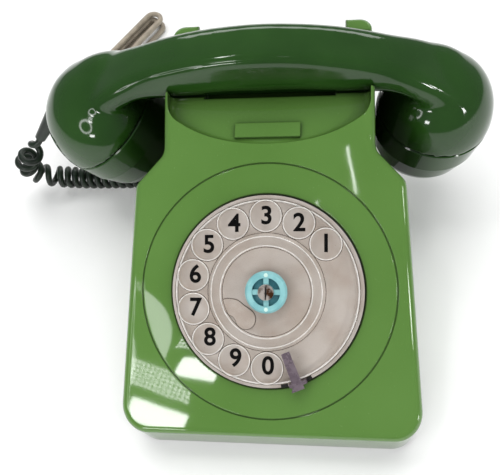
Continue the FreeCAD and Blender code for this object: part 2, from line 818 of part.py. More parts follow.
def make_hub():
    base = "Sizes.wheel_bottom + Sizes.wheel_thick"
    bottom = size("wheel_bottom") + size("wheel_thick")
    ring = lathe(
        "hub_ring",
        [
            ("Sizes.hub_inner", base),
            ("Sizes.hub_radius", base),
            ("Sizes.hub_radius", base + "+ Sizes.hub_thick * 0.6"),
            ("Sizes.hub_radius - 0.9", base + "+ Sizes.hub_thick"),
            ("Sizes.hub_inner", base + "+ Sizes.hub_thick"),
        ],
    )
    pieces = [ring, rod("HubCore", "Sizes.hub_screw_radius", "Sizes.hub_thick", Vector(0, 0, bottom))]
    reach = size("hub_inner") + 0.5
    bar = size("hub_bar")
    pieces.append(block("HubBarX", "2 * Sizes.hub_inner + 1", "Sizes.hub_bar", "Sizes.hub_thick * 0.7",
                        Vector(-reach, -bar / 2, bottom)))
    pieces.append(block("HubBarY", "Sizes.hub_bar", "2 * Sizes.hub_inner + 1", "Sizes.hub_thick * 0.7",
                        Vector(-bar / 2, -reach, bottom)))
    solid = fuse("HubSolid", pieces)
    hub = dial_cut("DialHub", solid, "Sizes.hub_shank_radius + Sizes.run_clearance", bottom - 1, "Sizes.hub_thick + 2")
    node("dial_hub", hub, dial)
    seat = bottom + size("hub_thick")
    head = rod("HubScrewHead", "Sizes.hub_screw_radius", "Sizes.hub_screw_thick", Vector(0, 0, seat))
    slot = block("HubScrewSlot", "0.9", "3 * Sizes.hub_screw_radius", "Sizes.hub_screw_thick",
                 Vector(-0.45, -1.5 * size("hub_screw_radius"), seat + size("hub_screw_thick") / 2))
    length = "Sizes.hub_thick + Sizes.wheel_thick + 6"
    shank = rod("HubScrewShank", "Sizes.hub_shank_radius", length, Vector(0, 0, size("wheel_bottom") - 6))
    node("hub_screw", fuse("HubScrew", [cut("HubScrewSlotted", head, slot), shank]), dial)


def make_dial_works():
    bottom = -size("dial_case_deep")
    length = "Sizes.dial_case_deep + Sizes.wheel_bottom"
    solid = rod("ShaftRod", "Sizes.shaft_radius", length, Vector(0, 0, bottom))
    bore = "Sizes.hub_shank_radius + Sizes.run_clearance"
    shaft = dial_cut("DialShaft", solid, bore, size("wheel_bottom") - 6.5, "8")
    node("dial_shaft", shaft, dial)

    gear = new_body("main_gear")
    disc = circles(gear, "XY_Plane", [("0", "0", "Sizes.gear_radius"), ("0", "0", "Sizes.shaft_radius")], "GearDisc")
    pad(gear, disc, "Sizes.gear_thick")
    half = "(Sizes.gear_radius * 80 / Sizes.gear_teeth / 57.3)"
    tooth = outline(
        gear,
        "XY_Plane",
        [
            ("Sizes.gear_radius - 0.5", "-" + half),
            ("Sizes.gear_radius + Sizes.tooth_rise", "-%s / 2" % half),
            ("Sizes.gear_radius + Sizes.tooth_rise", "%s / 2" % half),
            ("Sizes.gear_radius - 0.5", half),
        ],
        "GearTooth",
    )
    one = pad(gear, tooth, "Sizes.gear_thick")
    doc.recompute()
    teeth = gear.newObject("PartDesign::PolarPattern", "GearTeeth")
    teeth.Originals = [one]
    teeth.Axis = (tooth, ["N_Axis"])
    teeth.Angle = 360
    teeth.Occurrences = int(size("gear_teeth"))
    gear.Tip = teeth
    low = Placement(Vector(0, 0, size("gear_top") - size("gear_thick")), Rotation())
    node("main_gear", gear, dial.multiply(low))

    cam = new_body("pulse_cam")
    disc = circles(cam, "XY_Plane", [("0", "0", "Sizes.cam_radius"), ("0", "0", "Sizes.shaft_radius")], "CamDisc")
    pad(cam, disc, "Sizes.cam_thick")
    notch = pocket_through(cam, circles(cam, "XY_Plane", [("Sizes.cam_radius", "0", "1.8")], "CamNotch"))
    doc.recompute()
    notches = cam.newObject("PartDesign::PolarPattern", "CamNotches")
    notches.Originals = [notch]
    notches.Axis = (notch.Profile[0], ["N_Axis"])
    notches.Angle = 300
    notches.Occurrences = int(size("cam_notches"))
    cam.Tip = notches
    low = Placement(Vector(0, 0, size("cam_top") - size("cam_thick")), Rotation())
    node("pulse_cam", cam, dial.multiply(low))

    floor = "-Sizes.dial_case_deep + Sizes.dial_case_wall"
    barrel = lathe(
        "spring_barrel",
        [
            ("Sizes.shaft_radius + Sizes.seat_clearance", floor),
            ("Sizes.barrel_radius", floor),
            ("Sizes.barrel_radius", "Sizes.barrel_top"),
            ("Sizes.shaft_radius + Sizes.seat_clearance", "Sizes.barrel_top"),
        ],
    )
    node("spring_barrel", barrel, dial)


def governor_axis():
    reach = size("gear_radius") + size("tooth_rise") + size("worm_gap") + size("worm_radius")
    return Vector(0, -reach, size("gear_top") - size("gear_thick") / 2)


def make_governor():
    axis = governor_axis()
    half = size("governor_half")
    thick = size("governor_post_thick")
    start = Vector(-half, axis.y, axis.z)
    shaft = rod("GovernorShaft", "Sizes.governor_shaft_radius", "2 * Sizes.governor_half", start, ALONG_X)
    inner = half - thick
    worm = rod("GovernorWorm", "Sizes.worm_radius", "Sizes.governor_half", axis - ALONG_X * inner * 0.55, ALONG_X)
    drum_start = axis + ALONG_X * (inner - size("governor_drum_length") - 0.5)
    drum = rod("GovernorDrum", "Sizes.governor_drum_radius", "Sizes.governor_drum_length", drum_start, ALONG_X)
    node("governor", fuse("Governor", [shaft, worm, drum]), dial)
    floor = -size("dial_case_deep") + size("dial_case_wall")
    posts = []
    for side, name in ((-1, "L"), (1, "R")):
        x = side * half - (thick if side > 0 else 0)
        rise_up = "Sizes.dial_case_deep - Sizes.dial_case_wall + %f" % (axis.z + 3)
        post = block("GovernorPost" + name, "Sizes.governor_post_thick", "7", rise_up, Vector(x, axis.y - 3.5, floor))
        hole = rod("GovernorHole" + name, "Sizes.governor_shaft_radius + Sizes.run_clearance",
                   "Sizes.governor_post_thick + 2", Vector(x - 1, axis.y, axis.z), ALONG_X)
        posts.append(cut("GovernorBearing" + name, post, hole))
    node("governor_bearings", group("GovernorBearings", posts), dial)


def make_pulse_contacts():
    floor = -size("dial_case_deep") + size("dial_case_wall")
    away = size("cam_radius") + 3
    stack = block("PulseStack", "14", "9", "-%s" % ("(%f)" % (floor + 14)), Vector(-7, away, floor))
    leaves = [stack]
    for index in range(3):
        foot = Vector(7, away + 1 + index * 3, floor + 5)
        leaves.append(block("PulseLeaf%d" % index, "17", "0.6", "4", foot))
    node("pulse_contacts", fuse("PulseContacts", leaves), dial)


# Pieces standing on the base plate
def make_dial_bracket():
    under = size("dial_case_deep") + size("bracket_thick")
    tray = block("BracketTray", "2 * Sizes.bracket_half", "36", "Sizes.bracket_thick",
                 Vector(-size("bracket_half"), 0, 0))
    tray.Placement = on_face.multiply(Placement(Vector(-size("bracket_half"), -6, -under), Rotation()))
    parts = [tray]
    top = on_face.multVec(Vector(0, 14, -under + size("bracket_thick") / 2))
    for side, name in ((-1, "L"), (1, "R")):
        x = side * size("bracket_half") - (size("bracket_leg") if side > 0 else 0)
        tall = "%f - Sizes.foot_height - Sizes.plate_thick" % top.z
        foot = Vector(x, top.y - 2, plate_top_z)
        parts.append(block("BracketLeg" + name, "Sizes.bracket_leg", "Sizes.bracket_thick", tall, foot))
        toe = Vector(x, top.y - 2, plate_top_z)
        parts.append(block("BracketToe" + name, "Sizes.bracket_leg", "9", "Sizes.bracket_thick", toe))
    node("dial_bracket", fuse("DialBracket", parts), desk)


def make_board():
    front = size("board_front")
    wide = size("board_width")
    height = size("board_height")
    deck = height + size("board_thick")
    board = block("CircuitBoard", "Sizes.board_width", "Sizes.board_depth", "Sizes.board_thick",
                  Vector(-wide / 2, front, height))
    node("circuit_board", board, desk)
    posts = []
    for index, x in enumerate((-wide / 2 + 5, wide / 2 - 5)):
        for end, y in enumerate((front + 5, front + size("board_depth") - 5)):
            tall = "Sizes.board_height - Sizes.foot_height - Sizes.plate_thick"
            posts.append(rod("BoardPost%d%d" % (index, end), "Sizes.board_post_radius", tall,
                             Vector(x, y, plate_top_z)))
    node("board_posts", group("BoardPosts", posts), desk)
    back = front + size("board_depth")
    node("capacitor", block("Capacitor", "30", "13", "9", Vector(-36, back - 30, deck)), desk)
    core = block("CoilCore", "22", "20", "4", Vector(6, back - 32, deck))
    winding = rod("CoilWinding", "7.5", "9", Vector(17, back - 22, deck + 4))
    node("induction_coil", fuse("InductionCoil", [core, winding]), desk)
    strip = [block("TerminalStrip", "50", "9", "8", Vector(-25, back - 11, deck))]
    for index in range(6):
        strip.append(rod("Terminal%d" % index, "2.4", "2", Vector(-20 + index * 8, back - 6.5, deck + 8)))
    node("terminal_block", fuse("TerminalBlock", strip), desk)


def make_ringer():
    spread = size("coil_spread")
    front = size("coil_front")
    height = size("coil_height")
    thick = size("yoke_thick")
    length = size("coil_length")
    wide = "2 * (Sizes.coil_spread + Sizes.coil_radius + 2)"
    half = spread + size("coil_radius") + 2
    tall = "Sizes.coil_height + Sizes.coil_radius - Sizes.foot_height - Sizes.plate_thick"
    back_plate = block("YokeBack", wide, "Sizes.yoke_thick", tall, Vector(-half, front - thick, plate_top_z))
    floor_plate = block("YokeFloor", "Sizes.coil_spread", "Sizes.coil_length + 3 * Sizes.yoke_thick + 6",
                        "Sizes.yoke_thick - 1", Vector(-spread / 2, front - thick, plate_top_z))
    pieces = [back_plate, floor_plate]
    pivot = ringer_pivot()
    pin_height = "Sizes.clapper_height - Sizes.foot_height - Sizes.plate_thick + 3"
    pieces.append(rod("RingerPivot", "Sizes.pivot_radius", pin_height, Vector(pivot.x, pivot.y, plate_top_z)))
    for side, name in ((-1, "L"), (1, "R")):
        foot = Vector(side * spread, front, height)
        pieces.append(rod("YokePole" + name, "Sizes.coil_radius / 3", "Sizes.coil_length + 2", foot, ALONG_Y))
    node("ringer_frame", fuse("RingerFrame", pieces), desk)
    coils = []
    for side, name in ((-1, "L"), (1, "R")):
        foot = Vector(side * spread, front, height)
        solid = rod("CoilSolid" + name, "Sizes.coil_radius", "Sizes.coil_length", foot, ALONG_Y)
        hole = rod("CoilHole" + name, "Sizes.coil_radius / 3", "Sizes.coil_length + 4", foot - ALONG_Y, ALONG_Y)
        coils.append(cut("RingerCoil" + name, solid, hole))
    node("ringer_coils", group("RingerCoils", coils), desk)

    boss_low = height - 5
    bar = block("ArmatureBar", "2 * Sizes.coil_spread + 8", "3", "10", Vector(-spread - 4, pivot.y - 1.5, boss_low))
    boss = rod("ArmatureBoss", "Sizes.pivot_radius + 2.5", "Sizes.clapper_height - Sizes.coil_height + 7",
               Vector(pivot.x, pivot.y, boss_low))
    reach = size("gong_y") - pivot.y
    arm = rod("ClapperArm", "Sizes.clapper_arm", "%f" % reach, Vector(0, pivot.y, size("clapper_height")), ALONG_Y)
    ball = doc.addObject("Part::Sphere", "ClapperBall")
    bind(ball, Radius="Sizes.clapper_ball")
    ball.Placement = Placement(Vector(0, size("gong_y"), size("clapper_height")), Rotation())
    solid = fuse("ClapperSolid", [bar, boss, arm, ball])
    hole = rod("ClapperBore", "Sizes.pivot_radius + Sizes.run_clearance", "40", Vector(pivot.x, pivot.y, plate_top_z))
    node("clapper", cut("Clapper", solid, hole), desk)


def ringer_pivot():
    gap = 2 + 1.5 + 0.8
    return Vector(0, size("coil_front") + size("coil_length") + gap, size("coil_height"))


def make_gongs():
    for side, name in ((-1, "left"), (1, "right")):
        top = "Sizes.gong_height"
        gong = lathe(
            "gong_" + name,
            [
                ("Sizes.gong_post_radius + Sizes.run_clearance", top + "- Sizes.gong_wall"),
                ("Sizes.gong_radius * 0.6", top + "- Sizes.gong_wall"),
                ("Sizes.gong_radius - Sizes.gong_wall - 1", "Sizes.gong_height * 0.5"),
                ("Sizes.gong_radius - Sizes.gong_wall", "0"),
                ("Sizes.gong_radius", "0"),
                ("Sizes.gong_radius - 1", "Sizes.gong_height * 0.55"),
                ("Sizes.gong_radius * 0.62", top),
                ("Sizes.gong_post_radius + Sizes.run_clearance", top),
            ],
        )
        spot = Vector(side * size("gong_x"), size("gong_y"), size("gong_bottom"))
        node("gong_" + name, gong, desk.multiply(Placement(spot, Rotation())))
    posts = []
    under = "Sizes.gong_bottom + Sizes.gong_height - Sizes.gong_wall - Sizes.foot_height - Sizes.plate_thick"
    for side, name in ((-1, "L"), (1, "R")):
        foot = Vector(side * size("gong_x"), size("gong_y"), plate_top_z)
        column = rod("GongColumn" + name, "Sizes.gong_post_radius + 1.5", under, foot)
        stud = rod("GongStud" + name, "Sizes.gong_post_radius", under + "+ 5", foot)
        top = size("gong_bottom") + size("gong_height")
        nut = rod("GongNut" + name, "Sizes.gong_nut_radius", "2.4", Vector(foot.x, foot.y, top))
        posts.append(fuse("GongPost" + name, [column, stud, nut]))
    node("gong_posts", group("GongPosts", posts), desk)


def make_hook_switch():
    pivot_y = worked(handset_y) - size("switch_arm")
    y = pivot_y - size("switch_plate_gap")
    half = size("switch_plate_half")
    thick = size("switch_plate_thick")
    pivot_z = size("switch_pivot_z")
    tall = "Sizes.switch_pivot_z + 4 - Sizes.foot_height - Sizes.plate_thick"
    wall = block("SwitchWall", "2 * Sizes.switch_plate_half", "Sizes.switch_plate_thick", tall,
                 Vector(-half, y, plate_top_z))
    window = block("SwitchWindow", "Sizes.gong_radius", "10", "Sizes.clapper_height",
                   Vector(-size("gong_radius") / 2, y - 4, plate_top_z - 1))
    parts = [cut("SwitchWallCut", wall, window)]
    for side, name in ((-1, "L"), (1, "R")):
        x = side * half - (thick if side > 0 else 0)
        ear = block("SwitchEar" + name, "Sizes.switch_plate_thick", "Sizes.switch_plate_gap + 4",
                    "8", Vector(x, y, pivot_z - 4))
        hole = rod("SwitchEarHole" + name, "Sizes.pivot_radius + Sizes.run_clearance", "6",
                   Vector(x - 2, pivot_y, pivot_z), ALONG_X)
        parts.append(cut("SwitchEarCut" + name, ear, hole))
    node("switch_bracket", fuse("SwitchBracket", parts), desk)

    pin = rod("LeverPin", "Sizes.pivot_radius", "2 * Sizes.switch_plate_half + 16",
              Vector(-half - 8, pivot_y, pivot_z), ALONG_X)
    reach = "Sizes.switch_arm + Sizes.plunger_radius"
    pieces = [pin]
    pad_top = size("plunger_bottom") - size("seat_clearance")
    for side, name in ((-1, "L"), (1, "R")):
        x = side * size("plunger_x") - 3
        pieces.append(block("LeverArm" + name, "6", reach, "3", Vector(x, pivot_y, pad_top - 3)))
        pieces.append(block("LeverWeb" + name, "6", "3", "%f" % (pad_top - pivot_z + 1), Vector(x, pivot_y - 1.5, pivot_z - 1)))
    node("switch_lever", fuse("SwitchLever", pieces), desk)

    leaf_z = pivot_z - 22
    stack = [block("ContactBlock", "40", "10", "8", Vector(-20, y + thick, leaf_z))]
    for index in range(4):
        stack.append(block("ContactLeaf%d" % index, "3", "22", "0.6", Vector(-16 + index * 9, y + thick + 9, leaf_z + 5)))
    node("switch_contacts", fuse("SwitchContacts", stack), desk)

    top = worked(trough_floor)
    for side, name in ((-1, "left"), (1, "right")):
        stem_foot = Vector(side * size("plunger_x"), worked(handset_y), size("plunger_bottom"))
        stem = rod("PlungerStem" + name, "Sizes.plunger_radius", "%s - Sizes.plunger_bottom" % trough_floor, stem_foot)
        collar = rod("PlungerCollar" + name, "Sizes.plunger_collar", "2", stem_foot)
        node("plunger_" + name, fuse("Plunger" + name.capitalize(), [stem, collar]), desk)
    return top


# Handset, in its own frame: x along its length, z from the table
def handle_section(x, half, top, bottom):
    belt = bottom + size("handle_belt") * (top - bottom)
    upper = half - size("handle_top_in")
    lower = half - size("handle_low_in")
    edge = size("handle_round")
    rear = [(lower, bottom, edge), (half, belt, edge), (upper, top, size("handle_rear_round"))]
    corners = rear + [(-y, z, edge) for y, z, radius in reversed(rear)]
    ends = []
    for index, (y, z, radius) in enumerate(corners):
        here = Vector(x, y, z)
        before = Vector(x, *corners[index - 1][:2])
        after = Vector(x, *corners[(index + 1) % 6][:2])
        back = (before - here).normalize()
        onward = (after - here).normalize()
        trim = radius / math.tan(back.getAngle(onward) / 2)
        start = here + back * trim
        end = here + onward * trim
        ends.append((start, arc_middle(start, back * -1, end)[0], end))
    edges = []
    for index, (start, middle, end) in enumerate(ends):
        edges.append(Part.Arc(start, middle, end).toShape())
        edges.append(Part.LineSegment(end, ends[(index + 1) % 6][0]).toShape())
    return Part.Wire(edges)


def cap_axis(tilt, inward):
    return Vector(inward * math.sin(math.radians(tilt)), 0, -math.cos(math.radians(tilt)))


def cup_place(end):
    inward = -1 if end == "ear" else 1
    centre = Vector(ear_x if end == "ear" else mouth_x, 0, size(end + "_z"))
    return Placement(centre, Rotation(UP, cap_axis(size(end + "_tilt"), inward)))


def dome(end, shrink, flat):
    radius = size(end + "_radius") - shrink
    height = size("dome_height") - shrink
    quarter = []
    steps = 6
    for index in range(steps + 1):
        angle = math.radians(90) * index / steps
        quarter.append(Vector(radius * math.cos(angle), 0, -height * math.sin(angle)))
    quarter[-1] = Vector(0, 0, -height)
    curve = Part.BSplineCurve()
    curve.interpolate(quarter, InitialTangent=Vector(0, 0, -1), FinalTangent=Vector(-1, 0, 0))
    edges = [curve.toShape(), Part.makeLine(quarter[-1], Vector(0, 0, flat))]
    edges.append(Part.makeLine(Vector(0, 0, flat), Vector(radius, 0, flat)))
    if flat:
        edges.append(Part.makeLine(Vector(radius, 0, flat), quarter[0]))
    face = Part.Face(Part.Wire(Part.__sortEdges__(edges)))
    solid = face.revolve(Vector(0, 0, 0), UP, 360)
    solid.Placement = cup_place(end)
    return solid


def relief_axis():
    place = cup_place("mouth")
    root = place.multVec(Vector(size("relief_out"), 0, -size("relief_up")))
    direction = place.Rotation.multVec(Vector(0.926, -0.23, 0.294)).normalize()
    return root, direction


def make_handset_shell():
    sections = []
    for share in (-1, -0.9, -0.8, -0.7, -0.6, -0.5, -0.25, 0, 0.25, 0.5, 0.6, 0.7, 0.8, 0.9, 1):
        x = share * size("handle_reach")
        top = size("handle_top") - size("handle_arch") * x * x - size("handle_droop") * share ** 8
        beyond = max(0, abs(share) - 0.62)
        low = size("handle_bottom") - size("handle_deepen") * beyond ** 1.2
        sections.append(handle_section(x, size("handle_half") + size("handle_flare") * beyond, top, low))
    handle = Part.makeLoft(sections, True)
    flat_half = 0.58 * size("handle_reach")
    wide = 4 * size("handle_half")
    under = Vector(-flat_half, -wide / 2, size("handle_bottom") - wide)
    handle = handle.cut(Part.makeBox(2 * flat_half, wide, wide, under))
    solid = handle.fuse([dome("ear", 0, 0), dome("mouth", 0, 0)])
    for end in ("ear", "mouth"):
        solid = solid.cut(dome(end, size("cup_wall"), 0))
        flat = Part.makeCylinder(size(end + "_radius") + 8, 60, Vector(0, 0, 0), UP)
        flat.Placement = cup_place(end)
        solid = solid.cut(flat)
    root, direction = relief_axis()
    solid = solid.cut(Part.makeCylinder(size("relief_root") + size("run_clearance"), 40, root, direction))
    shell = doc.addObject("Part::Feature", "HandsetShell")
    shell.Shape = solid.removeSplitter()
    node("handset_shell", shell, hand)


def make_caps():
    for end in ("ear", "mouth"):
        label = end + "_cap"
        radius = "Sizes.%s_radius" % end
        lower = "(%s - Sizes.cap_taper)" % radius
        bevel = "Sizes.cap_round"
        cap = lathe(
            label,
            [
                ("0", "Sizes.cap_height - Sizes.cap_wall - 2"),
                (lower + "- Sizes.cap_wall - 4", "Sizes.cap_height - Sizes.cap_wall"),
                (lower + "- Sizes.cap_wall", "Sizes.cap_height - Sizes.cap_wall - 3"),
                (radius + "- Sizes.cap_wall", "0"),
                (radius + "- Sizes.seam_bevel", "0"),
                (radius, "Sizes.seam_bevel"),
                (radius + "- 0.8", "Sizes.cap_height * 0.45"),
                (lower, "Sizes.cap_height - " + bevel),
                (lower + "- %s * 0.35" % bevel, "Sizes.cap_height - %s * 0.3" % bevel),
                (lower + "- " + bevel, "Sizes.cap_height"),
                ("0", "Sizes.cap_height - 2"),
            ],
        )
        holes = circles(cap, "XY_Plane", [("5", "0", "1.2"), ("11", "0", "1.2")], helper_name(label) + "Holes")
        drilled = pocket_through(cap, holes)
        doc.recompute()
        ring = cap.newObject("PartDesign::PolarPattern", helper_name(label) + "Ring")
        ring.Originals = [drilled]
        ring.Axis = (holes, ["N_Axis"])
        ring.Angle = 360
        ring.Occurrences = 8
        cap.Tip = ring
        node(label, cap, hand.multiply(cup_place(end)))


def make_capsules():
    for end, label in (("ear", "receiver_capsule"), ("mouth", "transmitter_capsule")):
        top = "Sizes.cap_height - Sizes.cap_wall - 2"
        capsule = lathe(
            label,
            [
                ("0", top + "- Sizes.capsule_thick - 6"),
                ("Sizes.capsule_radius * 0.5", top + "- Sizes.capsule_thick - 6"),
                ("Sizes.capsule_radius * 0.5", top + "- Sizes.capsule_thick"),
                ("Sizes.capsule_radius", top + "- Sizes.capsule_thick"),
                ("Sizes.capsule_radius", top + "- 3"),
                ("Sizes.capsule_radius * 0.8", top),
                ("0", top),
            ],
        )
        node(label, capsule, hand.multiply(cup_place(end)))


def make_relief():
    root, direction = relief_axis()
    cone = doc.addObject("Part::Cone", "ReliefCone")
    bind(cone, Radius1="Sizes.relief_root", Radius2="Sizes.relief_tip", Height="Sizes.relief_length")
    node("handset_relief", cone, hand.multiply(Placement(root, Rotation(UP, direction))))
    return root + direction * size("relief_length")


# Cords: straight runs joined by tangent arcs, curls and loops worked out by formula
def arc_middle(start, tangent, end):
    chord = end - start
    side = chord - tangent * chord.dot(tangent)
    if side.Length < 1e-6:
        return None, float("inf")
    side.normalize()
    radius = chord.dot(chord) / (2 * chord.dot(side))
    centre = start + side * radius
    middle = centre + ((start - centre) + (end - centre)).normalize() * radius
    return middle, radius


def arc_or_line(start, middle, end):
    return Part.LineSegment(start, end) if middle is None else Part.Arc(start, middle, end)


def biarc(start, start_tangent, end, end_tangent):
    across = end - start
    both = start_tangent + end_tangent
    spread = 2 * (1 - start_tangent.dot(end_tangent))
    if spread < 1e-9:
        reach = across.dot(across) / (4 * across.dot(end_tangent))
    else:
        along = across.dot(both)
        reach = (-along + math.sqrt(along * along + spread * across.dot(across))) / spread
    joint = (start + start_tangent * reach + end - end_tangent * reach) * 0.5
    first, first_radius = arc_middle(start, start_tangent, joint)
    second, second_radius = arc_middle(end, end_tangent * -1, joint)
    pair = [arc_or_line(start, first, joint), arc_or_line(joint, second, end)]
    return pair, min(first_radius, second_radius)


def rounded_route(points):
    edges = []
    radii = []
    last = points[0]
    for index in range(1, len(points) - 1):
        here = points[index]
        back = points[index - 1] - here
        onward = points[index + 1] - here
        turn = math.pi - back.getAngle(onward)
        trim = 0.45 * min(back.Length, onward.Length)
        radii.append(trim / math.tan(turn / 2))
        start = here + back.normalize() * trim
        end = here + onward.normalize() * trim
        edges.append(Part.LineSegment(last, start))
        edges.append(arc_or_line(start, arc_middle(start, back * -1, end)[0], end))
        last = end
    edges.append(Part.LineSegment(last, points[-1]))
    return [edge.toShape() for edge in edges], radii


def tube(edges, width):
    wire = Part.Wire(edges)
    first = edges[0]
    start = first.valueAt(first.FirstParameter)
    direction = first.tangentAt(first.FirstParameter)
    ring = Part.Wire([Part.makeCircle(width / 2, start, direction)])
    return wire.makePipeShell([ring], True, False)


def least_gap(edges, width, apart):
    points = []
    travelled = []
    total = 0.0
    for edge in edges:
        count = max(2, int(edge.Length / 1.2))
        for point in edge.discretize(count + 1)[:-1]:
            points.append(point)
        travelled += [total + edge.Length * index / count for index in range(count)]
        total += edge.Length
    least = float("inf")
    for index, point in enumerate(points):
        for other in range(index + 1, len(points)):
            if travelled[other] - travelled[index] < apart:
                continue
            gap = point.distanceToPoint(points[other])
            if gap < least:
                least = gap
    return least - width, total


def cord_node(label, edges, width, place):
    solid = tube(edges, width)
    length = sum(edge.Length for edge in edges)
    section = math.pi * width * width / 4
    item = doc.addObject("Part::Feature", helper_name(label))
    item.Shape = solid
    print(label, "length", round(length, 1), "volume over section times length",
          round(solid.Volume / (section * length), 4))
    return node(label, item, place)


# Route of the curly cord's middle line, from the relief's tip to the gland on the left wall
def curl_route(tip):
    wall = handset_gland - ALONG_X * size("gland_length")
    return [
        tip,
        tip + relief_axis()[1] * 16,
        Vector(-158, 157, 27),
        Vector(-150, 159, 8.5),
        Vector(wall.x - 14, size("handset_gland_y"), 7.5),
        wall,
    ]


def make_handset_cord(tip_in_hand):
    to_desk = desk.inverse().multiply(hand)
    tip = to_desk.multVec(tip_in_hand)
    route = curl_route(tip)
    edges, radii = rounded_route(route)
    print("handset_cord bend radii", [round(radius, 1) for radius in radii])
    spine = Part.Wire(edges)
    stations = []
    travelled = 0.0
    for edge in edges:
        stations.append((travelled, edge))
        travelled += edge.Length

    def centre(along):
        for start, edge in reversed(stations):
            if along >= start - 1e-9:
                parameter = edge.getParameterByLength(min(along - start, edge.Length))
                return edge.valueAt(parameter), edge.tangentAt(parameter)

    lead = size("curl_lead")
    hanging = sum(edge.Length for edge in edges[:6])
    marks = []
    open_steps = int(size("open_curls")) * 4
    tight_steps = int(size("tight_curls")) * 4
    for step in range(4):
        marks.append(lead * step / 4)
    for step in range(open_steps):
        marks.append(lead + (hanging - lead) * step / open_steps)
    for step in range(tight_steps):
        marks.append(hanging + (spine.Length - lead - hanging) * step / tight_steps)
    for step in range(5):
        marks.append(spine.Length - lead + lead * step / 4)

    def on_helix(along, phase):
        along = min(max(along, 0), spine.Length)
        middle, forward = centre(along)
        side = forward.cross(ALONG_Y).normalize()
        third = forward.cross(side)
        share = min(along, spine.Length - along, lead) / lead
        reach = size("curl_radius") * share * share * (3 - 2 * share)
        return middle + (side * math.cos(phase) + third * math.sin(phase)) * reach

    knots = []
    for step, along in enumerate(marks):
        phase = step * math.pi / 2
        before = marks[max(step - 1, 0)]
        after = marks[min(step + 1, len(marks) - 1)]
        rate = (math.pi / 2) * (2 if 0 < step < len(marks) - 1 else 1) / (after - before)
        small = 0.01
        ahead = on_helix(along + small, phase + rate * small)
        behind = on_helix(along - small, phase - rate * small)
        knots.append((on_helix(along, phase), (ahead - behind).normalize()))
    curls = []
    tightest = float("inf")
    for (here, here_tangent), (there, there_tangent) in zip(knots, knots[1:]):
        pair, radius = biarc(here, here_tangent, there, there_tangent)
        tightest = min(tightest, radius)
        curls += [piece.toShape() for piece in pair]
    gap, length = least_gap(curls, size("curl_wire"), 2.2 * size("curl_radius"))
    print("handset_cord tightest radius", round(tightest, 2), "least gap to itself", round(gap, 2))
    cord_node("handset_cord", curls, size("curl_wire"), desk)


# Hank of spare line cord, tied, in its own frame: x along the runs
def hank_path():
    run = size("hank_run") / 2
    step = size("line_wire") + size("hank_gap")
    turns = int(size("hank_turns"))
    layers = int(size("hank_layers"))
    inner = size("hank_inner")
    outer = inner + turns * step
    half_turns = 2 * turns
    edges = []
    radii = []
    level = size("line_wire") / 2 + 0.2
    offset = outer
    heading = 1
    start = Vector(-run - size("line_wire"), -offset, level)
    here = Vector(start)
    for count in range(layers * half_turns + 1):
        layer, turn = divmod(count, half_turns)
        change = -step / 2 if layer % 2 == 0 else step / 2
        climb = layer > 0 and turn == 0
        level += step if climb else 0
        side = -1 if heading > 0 else 1
        target = Vector(heading * run, side * offset, level)
        edges += climbing_run(here, target) if climb else [Part.makeLine(here, target)]
        following = offset + change
        reach = (offset + following) / 2
        middle_y = side * (offset - following) / 2
        top = Vector(heading * run + heading * reach, middle_y, level)
        end = Vector(heading * run, -side * following, level)
        edges.append(Part.Arc(target, top, end).toShape())
        radii.append(reach)
        here = end
        offset = following
        heading = -heading
    back = ALONG_X * -1
    leave = Vector(size("plug_start") + size("plug_bend"), here.y, here.z)
    finish = Vector(size("plug_start"), here.y - size("plug_aside"), here.z + size("plug_lift"))
    edges.append(Part.makeLine(here, leave))
    edges += [piece.toShape() for piece in biarc(leave, back, finish, back)[0]]
    return edges, radii, outer, start, finish


def climbing_run(start, target):
    direction = Vector(target.x - start.x, target.y - start.y, 0).normalize()
    return [piece.toShape() for piece in biarc(start, direction, target, direction)[0]]


hank_place = Placement(Vector(size("hank_x"), size("hank_y"), 0), Rotation(UP, size("hank_angle")))


